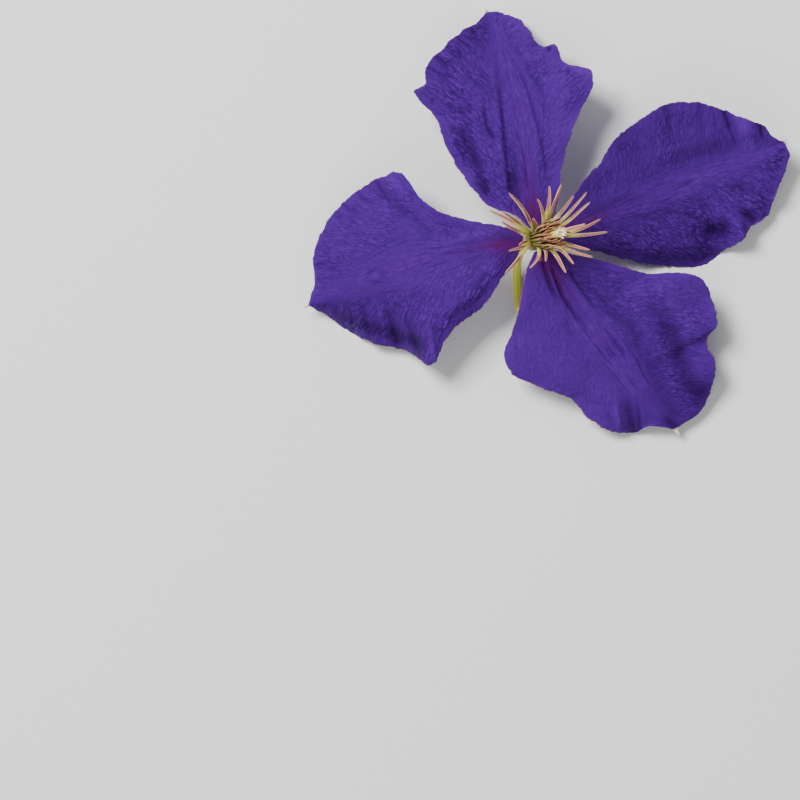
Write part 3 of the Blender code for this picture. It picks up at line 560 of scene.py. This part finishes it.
def half_tepal(tepal, folds, side, phase, seed):
    """One half of a tepal: its middle surface, and the values that its material reads."""
    along = np.linspace(0, 1, ROWS + 1)[:, None]
    across = np.linspace(0, 1, COLUMNS + 1)[None, :]
    midrib = smooth_curve(tepal["midrib"], along[:, 0])[:, None, :]
    margin = smooth_curve([*tepal[side], tepal["midrib"][-1]], along[:, 0])[:, None, :]
    length = np.linalg.norm(np.diff(midrib[:, 0], axis=0), axis=1).sum()
    forward = length * along + 0 * across
    from_tip = length * (1 - along)
    ends = rise(along, 0, 0.06) * rise(along, 1, 0.95)
    out, width = half_outline(margin - midrib, from_tip, tepal["mucro"])
    from_margin = width * (1 - across)

    points = midrib + across[:, :, None] * out
    points[:, :, 2] = midrib[:, :, 2] + across**CROSS_CURVE * out[:, :, 2]
    points[:, :, 2] += relief(along, across, phase, tepal["ribs"])
    fold_height, tone = fold_values(points[:, :, 0], points[:, :, 1], folds)
    points[:, :, 2] += fold_height
    outward = out[:, :, :2] / np.maximum(width, 1e-6)[:, :, None]
    points[:, :, :2] += (ends * notched(forward, across, seed + 1))[:, :, None] * outward

    run_share, strength, cell, edge_strength = tepal["veins"][side]
    vein, reach, sideways, wander = vein_places(points, midrib, forward, run_share, seed)
    strength = strength + edge_strength * rise(from_margin, *DEEP_STRIP)
    # The crinkles are lower beside the midrib and along the margin, and here and there between.
    crinkled = between(0.2, 1.0, rise(across, 0.05, 0.45)) * ends
    crinkled = crinkled * between(0.3, 1.0, rise(from_margin, 0.5, SMOOTH_STRIP))
    crinkled = crinkled * between(0.6, 1.0, rise(noise(forward / 8, sideways / 6, seed + 4), -0.4, 0.4))
    crinkles = crinkle_height(vein, reach, across, cell, seed + 5)
    strand_place = across * width.max() / STRAND_SIZE[0] + 0.4 * wander
    strands = pillows(strand_place, forward / STRAND_SIZE[1], seed + 7) * rise(across, 0.3, 0.04) * ends
    swell = noise(forward / 9, sideways / 7, seed + 8) * rise(across, 0.05, 0.4) * ends
    frill = noise(forward / FRILL_LENGTH, across, seed + 9) * rise(from_margin, FRILL_STRIP, 0.0)
    frill = frill * rise(along, 0.3, 0.75) * ends
    points[:, :, 2] += strength * crinkles * crinkled + STRAND_HEIGHT * strands
    points[:, :, 2] += SWELL_HEIGHT * swell + FRILL_HEIGHT * frill

    # Painted highlight on the crests of the crinkles and strands, painted shade in their creases and
    # beside the midrib.
    crest_light_and_shade = CREST_LEVEL + CREST_CRINKLES * strength * (crinkles - crinkles.mean()) * crinkled
    crest_light_and_shade += CREST_STRANDS * (strands - strands.mean()) - CREST_MIDRIB * rise(across, 0.5, 0.05) * ends
    values = {
        "vein": vein,
        "reach": reach if side == "right" else reach + 100,
        "crinkled": crinkled * (0.25 + 2.5 * strength),
        "crest_light_and_shade": crest_light_and_shade,
        # The folds' painted light and shade, and the whole tepal's painted shade.
        "tone": tone + tepal["tone"],
        "tip": rise(from_tip, tepal["mucro"], 0.6 * tepal["mucro"]),
        "grain": across * 20,
        "forward": forward,
        "rib": rise(across, 0.5, 0.1) * rise(along, 1, 0.6),
        "bar": bar_strength(along, across),
        "rim": np.minimum(from_margin, from_tip + 0.4),
    }
    return points, {key: np.broadcast_to(grid, forward.shape) for key, grid in values.items()}


def bar_strength(along, across):
    """How red the tepal is: along its midrib and, near the root, along the ribs beside it."""
    lengthwise = 0.15 * rise(along, 0.9, 0.5) + 0.85 * rise(along, 0.34, 0.08)
    middle = np.exp(-(across / 0.12) ** 2) * lengthwise
    beside = np.exp(-((across - RIB_PITCH) / 0.1) ** 2) * rise(along, 0.26, 0.04)
    root = rise(along, 0.16, 0.02)
    return np.clip(middle + 0.6 * beside + 0.5 * root, 0, 1)


def tepal_mesh(name, tepal, seed):
    """A closed thin blade with its upper and lower faces joined along the margin."""
    left, left_values = half_tepal(tepal, FOLDS[name], "left", tepal["phases"][0], seed)
    right, right_values = half_tepal(tepal, FOLDS[name], "right", tepal["phases"][1], seed)
    middle = np.concatenate([left[:, :0:-1], right], axis=1)
    values = {
        key: np.concatenate([numbers[:, :0:-1], right_values[key]], axis=1)
        for key, numbers in left_values.items()
    }
    across = np.abs(np.linspace(-1, 1, 2 * COLUMNS + 1))[None, :]
    row = np.arange(ROWS + 1)[:, None]
    rounding = np.sqrt(np.clip(1 - across**EDGE_POWER, 0, 1)) * np.clip(row / ROOT_ROWS, 0, 1) ** 0.5
    depth = rounding * (BLADE_THICK + RIB_THICK * values["rib"]) / 2
    upper, lower = middle.copy(), middle.copy()
    lower[:, :, 2] = np.maximum(lower[:, :, 2] - depth, 0.0)
    upper[:, :, 2] = np.maximum(upper[:, :, 2] + depth, lower[:, :, 2] + depth)

    shape = middle.shape[:2]
    upper_index = np.arange(middle[:, :, 0].size).reshape(shape)
    upper_index[-1] = upper_index[-1, COLUMNS]
    lower_index = upper_index + upper_index.size
    for edge in (np.s_[0, :], np.s_[-1, :], np.s_[:, 0], np.s_[:, -1]):
        lower_index[edge] = upper_index[edge]
    faces = grid_faces(upper_index) + underside_faces(lower_index)
    points = np.concatenate([upper.reshape(-1, 3), lower.reshape(-1, 3)])
    both = {key: np.concatenate([grid.ravel(), grid.ravel()]) for key, grid in values.items()}
    both["under"] = np.repeat([0.0, 1.0], middle[:, :, 0].size)
    return make_piece(name + "_fine", points, faces, both, tepal_material(seed))


def underside_faces(index):
    """The faces of a grid with half its rows and columns, turned down. Its outermost faces take in the
    boundary's vertices between theirs, which the upper face has too."""
    last_row, last_column = index.shape[0] - 1, index.shape[1] - 1
    faces = []
    for i in range(0, last_row, 2):
        for j in range(0, last_column, 2):
            face = [index[i, j]]
            if j == 0:
                face.append(index[i + 1, 0])
            face += [index[i + 2, j], index[i + 2, j + 2]]
            if j + 2 == last_column:
                face.append(index[i + 1, last_column])
            face.append(index[i, j + 2])
            if i == 0:
                face.append(index[0, j + 1])
            kept = list(dict.fromkeys(int(k) for k in face))
            if len(kept) > 2:
                faces.append(kept)
    return faces


def grid_faces(index):
    """The faces of a grid of vertices, without the ones that have shrunk to a line."""
    corners = np.stack([index[:-1, :-1], index[:-1, 1:], index[1:, 1:], index[1:, :-1]], axis=-1)
    whole = []
    for face in corners.reshape(-1, 4).tolist():
        kept = list(dict.fromkeys(face))
        if len(kept) > 2:
            whole.append(kept)
    return whole


def make_piece(name, points, faces, values, material):
    """A smooth mesh object in metres that holds the values as attributes of its vertices."""
    points = (np.asarray(points) + (FLOWER_X, FLOWER_Y, 0.0)) * MM
    used = np.zeros(len(points), bool)
    used[np.concatenate([np.asarray(face) for face in faces])] = True
    renumbered = np.cumsum(used) - 1
    mesh = bpy.data.meshes.new(name)
    mesh.from_pydata(points[used].tolist(), [], [[int(renumbered[k]) for k in face] for face in faces])
    for key, numbers in values.items():
        kept = np.asarray(numbers, np.float32)[used]
        mesh.attributes.new(key, "FLOAT", "POINT").data.foreach_set("value", kept)
    mesh.shade_smooth()
    mesh.materials.append(material)
    made = bpy.data.objects.new(name, mesh)
    bpy.context.scene.collection.objects.link(made)
    return made


class Bunch:
    """Points, faces and values gathered from many repeats into one piece."""

    def __init__(self):
        self.points = []
        self.faces = []
        self.values = {}
        self.count = 0

    def add(self, rings, values):
        """A tube through the rings of points, closed at both ends. Each value is given for each point."""
        steps, sides = rings.shape[:2]
        index = np.arange(steps * sides).reshape(steps, sides) + self.count
        self.faces += grid_faces(np.concatenate([index, index[:, :1]], axis=1))
        self.faces += [index[0, ::-1].tolist(), index[-1].tolist()]
        self.points.append(rings.reshape(-1, 3))
        for key, numbers in values.items():
            spread = np.broadcast_to(numbers, (steps, sides)).ravel()
            self.values.setdefault(key, []).append(spread)
        self.count += steps * sides

    def finish(self, name, material):
        values = {key: np.concatenate(parts) for key, parts in self.values.items()}
        return make_piece(name, np.concatenate(self.points), self.faces, values, material)


def frames_along(path, level):
    """For each point of a path, the directions of its width and of its thickness."""
    tangents = np.gradient(path, axis=0)
    tangents /= np.linalg.norm(tangents, axis=1)[:, None]
    across = level - tangents * (tangents @ level)[:, None]
    across /= np.linalg.norm(across, axis=1)[:, None]
    return across, np.cross(tangents, across)


def tube_rings(path, level, wide, thick, sides, twist=0.0):
    """Rings of points round a path, with half width and half thickness at each point."""
    across, normal = frames_along(path, level)
    twist = np.broadcast_to(twist, len(path))[:, None]
    turned_across = across * np.cos(twist) + normal * np.sin(twist)
    turned_normal = normal * np.cos(twist) - across * np.sin(twist)
    turns = np.linspace(0, 2 * math.pi, sides, endpoint=False)
    wide, thick = (np.reshape(half, (len(path), -1)) for half in (wide, thick))
    return (
        path[:, None, :]
        + turned_across[:, None, :] * (wide * np.cos(turns))[:, :, None]
        + turned_normal[:, None, :] * (thick * np.sin(turns))[:, :, None]
    )


def add_stamen(bunch, path, level, width_scale, inner, draw):
    """A strap with a plain filament and an anther of two lobes along a groove."""
    share = np.linspace(0, 1, len(path))
    wide = width_scale * np.interp(share, STAMEN_SHARES, STAMEN_WIDTHS)
    thick = width_scale * np.interp(share, STAMEN_SHARES, STAMEN_THICKS)
    anther = rise(share, *(BRUSH_ANTHER if inner else SPREAD_ANTHER))
    turns = np.linspace(0, 2 * math.pi, STAMEN_SIDES, endpoint=False)
    edge = np.cos(turns)[None, :]
    groove = 1 + anther[:, None] * (0.55 * rise(np.abs(edge), 0.25, 0.75) - 0.35)
    twist = math.radians(draw.uniform(-STAMEN_TWIST, STAMEN_TWIST)) * share
    rings = tube_rings(path, level, wide, thick[:, None] * groove, STAMEN_SIDES, twist)
    bunch.add(rings, {
        "share": share[:, None],
        "edge": edge * draw.choice([-1.0, 1.0]),
        "tone": draw.uniform(0, 1),
        "inner": inner,
    })


def bowed_path(root, tip, sideways):
    """A stamen's middle line: it stands up from its root and bows over to its tip."""
    chord = tip - root
    bow = root + BOW_RISE * np.linalg.norm(chord) * HEAD_AXIS + BOW_REACH * chord
    t = np.linspace(0, 1, STAMEN_STEPS + 1)[:, None]
    left = np.array([-chord[1], chord[0], 0.0])
    left /= np.linalg.norm(left)
    return (1 - t) ** 2 * root + 2 * t * (1 - t) * bow + t**2 * tip + 4 * t * (1 - t) * sideways * left


def add_spread_stamens(bunch, draw):
    for x, y, sideways in SPREAD:
        outward = np.array([x, y, 0.0]) - CORE_FOOT * (1, 1, 0)
        outward /= np.linalg.norm(outward)
        root = CORE_FOOT + 0.5 * CORE_HEIGHT * HEAD_AXIS + SPREAD_ROOT_RADIUS * outward
        reach = math.hypot(x - root[0], y - root[1])
        chord = SPREAD_CHORD if reach > SHORT_REACH else SHORT_CHORD
        climb = math.sqrt(max(chord**2 - reach**2, (LEAST_SLOPE * reach) ** 2))
        tip = np.array([x, y, root[2] + climb])
        level = np.cross([0.0, 0.0, 1.0], outward)
        path = bowed_path(root, tip, sideways)
        t = np.linspace(0, 1, len(path))[:, None]
        path += STAMEN_WAVE * np.sin(2 * math.pi * (0.9 * t + draw.uniform(0, 1))) * t * level
        add_stamen(bunch, path, level, draw.uniform(0.9, 1.05), 0.0, draw)


def add_brush_stamens(bunch, draw):
    """Close rings of stamens that stand up round the pistil, their anthers curling."""
    first, second = side_axes(PISTIL_AXIS)
    t = np.linspace(0, 1, STAMEN_STEPS + 1)[:, None]
    for radius, count, length, splay, half_width in BRUSH_RINGS:
        for k in range(count):
            turn = 2 * math.pi * (k + draw.uniform(-0.25, 0.25)) / count + radius
            outward = around(first, second, turn)
            level = np.cross(PISTIL_AXIS, outward)
            lean = math.tan(math.radians(splay + draw.uniform(0, 4)))
            climb = length + ROOT_DEPTH + draw.uniform(-0.8, 0.6)
            root = CORE_TOP + radius * outward - ROOT_DEPTH * PISTIL_AXIS
            curl = draw.uniform(-0.9, 0.7) * outward + draw.uniform(-0.9, 0.9) * level
            path = root + climb * t * (PISTIL_AXIS + lean * outward) + curl * rise(t, 0.5, 1.1)
            add_stamen(bunch, path, level, half_width / 0.5, 1.0, draw)


def make_stamens(draw):
    bunch = Bunch()
    climbs = np.array([-CORE_SUNK, 0.0, 0.4, 0.9, 1.4, CORE_SHOULDER, CORE_HEIGHT])
    path = CORE_FOOT + climbs[:, None] * HEAD_AXIS
    heights = (-CORE_SUNK, 0.0, CORE_SHOULDER, CORE_HEIGHT)
    radii = np.interp(climbs, heights, (CORE_FOOT_RADIUS, CORE_RADIUS, CORE_TOP_RADIUS, CORE_TIP_RADIUS))
    first, _ = side_axes(HEAD_AXIS)
    rings = tube_rings(path, first, radii, radii, 32)
    bunch.add(rings, {"share": 0.12, "edge": 0.0, "tone": 0.5, "inner": 1.0})
    add_spread_stamens(bunch, draw)
    add_brush_stamens(bunch, draw)
    return bunch.finish("stamens_fine", stamen_material())


def add_hairs(bunch, path, first, second, tone, draw):
    """The short hairs of one style."""
    for _ in range(STYLE_HAIRS):
        place = draw.uniform(0.35, 0.95)
        start = path[int(place * (len(path) - 1))]
        aside = around(first, second, draw.uniform(0, 2 * math.pi))
        reach = HAIR_LENGTH * draw.uniform(0.6, 1.0)
        s = np.linspace(0, 1, 4)[:, None]
        hair = start + reach * s * (aside + 0.9 * PISTIL_AXIS)
        thin = HAIR_RADIUS * np.array([1.0, 0.9, 0.6, 0.1])
        rings = tube_rings(hair, np.cross(aside, PISTIL_AXIS), thin, thin, 3)
        bunch.add(rings, {"share": 1.0, "tone": tone})


def make_pistil(draw):
    """The styles: a close tuft of cream fingers with short silky hairs."""
    bunch = Bunch()
    first, second = side_axes(PISTIL_AXIS)
    foot = CORE_TOP + 0.6 * HEAD_AXIS
    top = foot + PISTIL_LENGTH * PISTIL_AXIS
    steps = np.linspace(0, 1, 14)
    column = foot + (PISTIL_LENGTH * steps)[:, None] * PISTIL_AXIS
    swell = PISTIL_RADIUS * np.interp(steps, (0, 0.6, 0.85, 1.0), (0.9, 0.9, 1.0, 1.05))
    rings = tube_rings(column, first, swell, swell, 24)
    bunch.add(rings, {"share": (0.5 * steps)[:, None], "tone": 0.5})
    for k in range(STYLE_COUNT):
        share = (k + 0.5) / STYLE_COUNT
        outward = around(first, second, k * GOLDEN_ANGLE)
        root = top + STYLE_SPREAD * math.sqrt(share) * outward - ROOT_DEPTH * PISTIL_AXIS
        length = ROOT_DEPTH + STYLE_LENGTH * draw.uniform(0.6, 1.0)
        t = np.linspace(0, 1, 12)[:, None]
        curl = draw.uniform(0.0, 0.45) * outward
        curl += draw.uniform(-0.3, 0.3) * np.cross(PISTIL_AXIS, outward)
        path = root + length * t * (PISTIL_AXIS + 0.2 * share * outward) + curl * t**3
        radii = STYLE_RADIUS * np.interp(t[:, 0], (0, 0.7, 0.9, 1), (1.1, 1.0, 0.8, 0.15))
        rings = tube_rings(path, first, radii, radii, 8)
        tone = draw.uniform(0, 1)
        bunch.add(rings, {"share": 0.5 + 0.5 * t, "tone": tone})
        add_hairs(bunch, path, first, second, tone, draw)
    return bunch.finish("pistil_fine", pistil_material())


def make_stalk():
    """The ribbed stalk, with the receptacle at its head."""
    neck = HEAD - np.array(NECK_DEPTHS)[:, None] * HEAD_AXIS
    shares = np.linspace(0, 1, STALK_STEPS + 1)
    bend = smooth_curve([neck[-1], *STALK_BEND], shares)[1:]
    path = np.vstack([neck, bend])
    radii = np.concatenate([RECEPTACLE_RADIUS * np.array(NECK_TAPER), np.full(len(bend), STALK_RADIUS)])
    turns = np.linspace(0, 2 * math.pi, STALK_SIDES, endpoint=False)
    ridge = np.cos(STALK_RIDGES * turns)[None, :]
    reach = radii[:, None] + STALK_RIDGE_HEIGHT * ridge
    rings = tube_rings(path, np.array(STALK_LEVEL), reach, reach, STALK_SIDES)
    rings[:, :, 2] = np.maximum(rings[:, :, 2], 0.0)
    bunch = Bunch()
    distance = np.concatenate([[0], np.cumsum(np.linalg.norm(np.diff(path, axis=0), axis=1))])
    bunch.add(rings, {"forward": distance[:, None], "ridge": ridge})
    return bunch.finish("stalk_fine", stalk_material())


def colour_socket(sockets, name):
    """The socket of that name that holds a colour: a Mix node has one of each kind."""
    return next(socket for socket in sockets if socket.name == name and socket.type == "RGBA")


class Graph:
    """The nodes of one material, made by short calls."""

    def __init__(self, name):
        self.material = bpy.data.materials.new(name)
        self.material.use_nodes = True
        self.nodes = self.material.node_tree.nodes
        self.links = self.material.node_tree.links
        self.shader = self.nodes["Principled BSDF"]

    def put(self, socket, value):
        """Links a value into a socket, or sets it where it is a plain number or colour."""
        if isinstance(value, bpy.types.NodeSocket):
            self.links.new(value, socket)
        else:
            socket.default_value = value

    def attribute(self, name):
        node = self.nodes.new("ShaderNodeAttribute")
        node.attribute_name = name
        return node.outputs["Fac"]

    def math(self, operation, first, second):
        node = self.nodes.new("ShaderNodeMath")
        node.operation = operation
        self.put(node.inputs[0], first)
        self.put(node.inputs[1], second)
        return node.outputs[0]

    def times(self, first, second):
        return self.math("MULTIPLY", first, second)

    def stretched(self, first, first_scale, second, second_scale, seed=0.0):
        """A place whose first two coordinates are values at their own scales."""
        node = self.nodes.new("ShaderNodeCombineXYZ")
        self.put(node.inputs[0], self.times(first, first_scale))
        self.put(node.inputs[1], self.times(second, second_scale))
        node.inputs[2].default_value = seed
        return node.outputs[0]

    def climb(self, value, low, high, top=1.0):
        """0 to top as the value goes from low to high, smoothly."""
        node = self.nodes.new("ShaderNodeMapRange")
        node.interpolation_type = "SMOOTHSTEP"
        self.put(node.inputs["Value"], value)
        node.inputs["From Min"].default_value = low
        node.inputs["From Max"].default_value = high
        node.inputs["To Max"].default_value = top
        return node.outputs["Result"]

    def noise(self, place, scale=1.0, detail=2.0):
        node = self.nodes.new("ShaderNodeTexNoise")
        self.put(node.inputs["Vector"], place)
        node.inputs["Scale"].default_value = scale
        node.inputs["Detail"].default_value = detail
        return node.outputs["Fac"]

    def cells(self, place):
        """How far a place is from the edge of its own random cell."""
        node = self.nodes.new("ShaderNodeTexVoronoi")
        node.feature = "DISTANCE_TO_EDGE"
        self.put(node.inputs["Vector"], place)
        node.inputs["Scale"].default_value = 1.0
        return node.outputs["Distance"]

    def mix(self, factor, first, second):
        """The first colour where the factor is 0, and the second where it is 1."""
        node = self.nodes.new("ShaderNodeMix")
        node.data_type = "RGBA"
        self.put(node.inputs["Factor"], factor)
        self.put(colour_socket(node.inputs, "A"), first)
        self.put(colour_socket(node.inputs, "B"), second)
        return colour_socket(node.outputs, "Result")

    def object_place(self):
        return self.nodes.new("ShaderNodeTexCoord").outputs["Object"]

    def finish(self, colour, roughness, height, depth):
        """The material, with bumps of a height from 0 to 1 that are depth millimetres deep."""
        self.put(self.shader.inputs["Base Color"], colour)
        self.shader.inputs["Roughness"].default_value = roughness
        bump = self.nodes.new("ShaderNodeBump")
        bump.inputs["Distance"].default_value = depth * MM
        self.put(bump.inputs["Height"], height)
        self.put(self.shader.inputs["Normal"], bump.outputs["Normal"])
        return self.material


def tepal_material(seed):
    """Satin violet skin: painted shade in its creases and hollows, painted highlight on its crests,
    painted light and shade over folds and whole tepals, red along its ribs, pale on its rim and its tip,
    and dull with greenish ribs underneath."""
    g = Graph("tepal_skin_" + str(seed))
    vein, reach, forward = g.attribute("vein"), g.attribute("reach"), g.attribute("forward")
    crinkled, rib, tone = g.attribute("crinkled"), g.attribute("rib"), g.attribute("tone")
    bumps = g.climb(g.cells(g.stretched(vein, 1.5, reach, 0.6, seed)), 0.0, 0.4)
    lines = g.noise(g.stretched(vein, 2.2, reach, 0.2, seed))
    streak = g.noise(g.stretched(g.attribute("grain"), 1.4, forward, 0.12, seed))

    # Painted highlight on the crests and painted shade in the creases.
    colour = g.mix(g.climb(g.attribute("crest_light_and_shade"), 0.0, 1.0), SHADE_VIOLET, VIOLET)
    # Painted shade at the edges of the bumps and along fine crease lines.
    colour = g.mix(g.times(g.climb(bumps, 0.25, 0.0, 0.4), crinkled), colour, SHADE_AND_VEIN_VIOLET)
    colour = g.mix(g.times(g.climb(lines, 0.55, 0.34, 0.35), crinkled), colour, SHADE_AND_VEIN_VIOLET)
    # Painted shade where the tone is below 0, painted light where it is above 0.
    colour = g.mix(g.times(tone, -0.9), colour, SHADE_AND_VEIN_VIOLET)
    colour = g.mix(tone, colour, PAINTED_LIGHT_VIOLET)
    # The fine veins beside the midrib, in their own darker colour.
    colour = g.mix(g.times(g.climb(streak, 0.5, 0.3, 0.4), rib), colour, SHADE_AND_VEIN_VIOLET)
    bar = g.times(g.attribute("bar"), g.climb(streak, 0.3, 0.6, 0.9))
    colour = g.mix(bar, colour, RED_BAR)
    below = g.mix(g.times(rib, g.climb(streak, 0.4, 0.6)), UNDERSIDE, UNDER_RIB)
    colour = g.mix(g.attribute("under"), colour, below)
    colour = g.mix(g.climb(g.attribute("rim"), 0.3, 0.08, 0.6), colour, MARGIN)
    colour = g.mix(g.attribute("tip"), colour, TIP_CREAM)
    g.shader.inputs["Specular IOR Level"].default_value = 0.03
    g.shader.inputs["Specular Tint"].default_value = SHEEN
    height = g.math("ADD", bumps, g.times(lines, 0.9))
    return g.finish(colour, 0.48, g.times(height, crinkled), 0.1)


def stamen_material():
    """Pale yellow-green filaments, darker olive in the brush with painted shade added, and salmon anthers
    with pale edges, darker on one side.
    """
    g = Graph("stamen_skin")
    share, inner, tone = g.attribute("share"), g.attribute("inner"), g.attribute("tone")
    grain = g.noise(g.object_place(), 1600.0, 2.0)
    filament = g.mix(g.climb(share, 0.25, 0.05), FILAMENT, FILAMENT_ROOT)
    # The brush's filaments, with painted shade for the shade among them.
    filament = g.mix(inner, filament, BRUSH_GREEN)
    edge = g.attribute("edge")
    body = g.mix(tone, ANTHER, ANTHER_DARK)
    body = g.mix(inner, body, g.mix(tone, BRUSH_SALMON, ANTHER))
    anther = g.mix(g.climb(edge, 0.0, -0.6, 0.6), body, ANTHER_DARK)
    anther = g.mix(g.climb(edge, -0.7, -0.9, 0.7), anther, ANTHER_EDGE)
    anther = g.mix(g.climb(edge, 0.5, 0.75, 0.95), anther, ANTHER_EDGE)
    reach = g.math("SUBTRACT", share, g.times(inner, 0.08))
    reach = g.math("ADD", reach, g.times(grain, 0.12))
    colour = g.mix(g.climb(reach, 0.54, 0.74), filament, anther)
    colour = g.mix(g.climb(grain, 0.55, 0.75, 0.25), colour, ANTHER_EDGE)
    return g.finish(colour, 0.6, grain, 0.05)


def pistil_material():
    """Cream styles, yellower towards their feet."""
    g = Graph("pistil_skin")
    share = g.attribute("share")
    grain = g.noise(g.object_place(), 2200.0, 2.0)
    height = g.math("ADD", share, g.times(grain, 0.2))
    colour = g.mix(g.climb(height, 0.5, 0.95), STYLE_FOOT, STYLE_CREAM)
    return g.finish(colour, 0.55, grain, 0.04)


def stalk_material():
    """Yellow-green skin, with painted shade in its grooves and darker streaks along it."""
    g = Graph("stalk_skin")
    ridge, forward = g.attribute("ridge"), g.attribute("forward")
    streak = g.noise(g.stretched(ridge, 2.0, forward, 0.5), 1.0, 3.0)
    # Painted shade in the grooves between the ridges.
    colour = g.mix(g.climb(ridge, -1.0, 0.8), STALK_SHADE_AND_STREAK, STALK_GREEN)
    # Darker streaks along the stalk, in its own colour.
    colour = g.mix(g.climb(streak, 0.45, 0.7, 0.5), colour, STALK_SHADE_AND_STREAK)
    colour = g.mix(g.climb(forward, 4.5, 1.5), colour, NECK_GREEN)
    return g.finish(colour, 0.5, g.noise(g.object_place(), 1500.0, 3.0), 0.05)


def make_floor():
    """A plain pale floor, much wider than any view."""
    bpy.ops.mesh.primitive_plane_add(size=FLOOR_SIDE, location=(0, 0, 0))
    floor = bpy.context.object
    floor.name = "floor"
    g = Graph("floor_skin")
    g.shader.inputs["Base Color"].default_value = FLOOR_COLOUR
    g.shader.inputs["Roughness"].default_value = 0.8
    floor.data.materials.append(g.material)


def add_lamp(name, place, size, power):
    """A square soft light that faces the bloom."""
    lamp = bpy.data.lights.new(name, "AREA")
    lamp.size = size
    lamp.energy = power
    holder = bpy.data.objects.new(name, lamp)
    bpy.context.scene.collection.objects.link(holder)
    holder.location = place
    holder.rotation_mode = "QUATERNION"
    holder.rotation_quaternion = (-Vector(place)).to_track_quat("-Z", "Y")


def light_studio():
    for lamp in LAMPS:
        add_lamp(*lamp)
    world = bpy.data.worlds.new("studio")
    world.use_nodes = True
    sky = world.node_tree.nodes["Background"].inputs
    sky["Color"].default_value = (1.0, 1.0, 1.0, 1.0)
    sky["Strength"].default_value = SKY_STRENGTH
    bpy.context.scene.world = world


def place_camera():
    lens = bpy.data.cameras.new("camera")
    lens.sensor_width = SENSOR
    lens.lens = SENSOR * (CAMERA_HEIGHT - VIEW_LEVEL) / VIEW_WIDTH
    lens.clip_start = 0.05
    camera = bpy.data.objects.new("camera", lens)
    bpy.context.scene.collection.objects.link(camera)
    camera.location = (CAMERA_X * MM, CAMERA_Y * MM, CAMERA_HEIGHT * MM)
    bpy.context.scene.camera = camera


def stand_for(piece, node):
    """The piece takes the place of a plain solid, and moves with the part."""
    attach(piece, "root")
    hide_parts(node)


def main():
    draw = np.random.default_rng(SEED)
    place_camera()
    make_floor()
    light_studio()
    for i, (name, tepal) in enumerate(TEPALS.items()):
        stand_for(tepal_mesh(name, tepal, SEED + 20 * i), name)
    stand_for(make_stamens(draw), "stamens")
    stand_for(make_pistil(draw), "pistil")
    stand_for(make_stalk(), "stalk")


main()
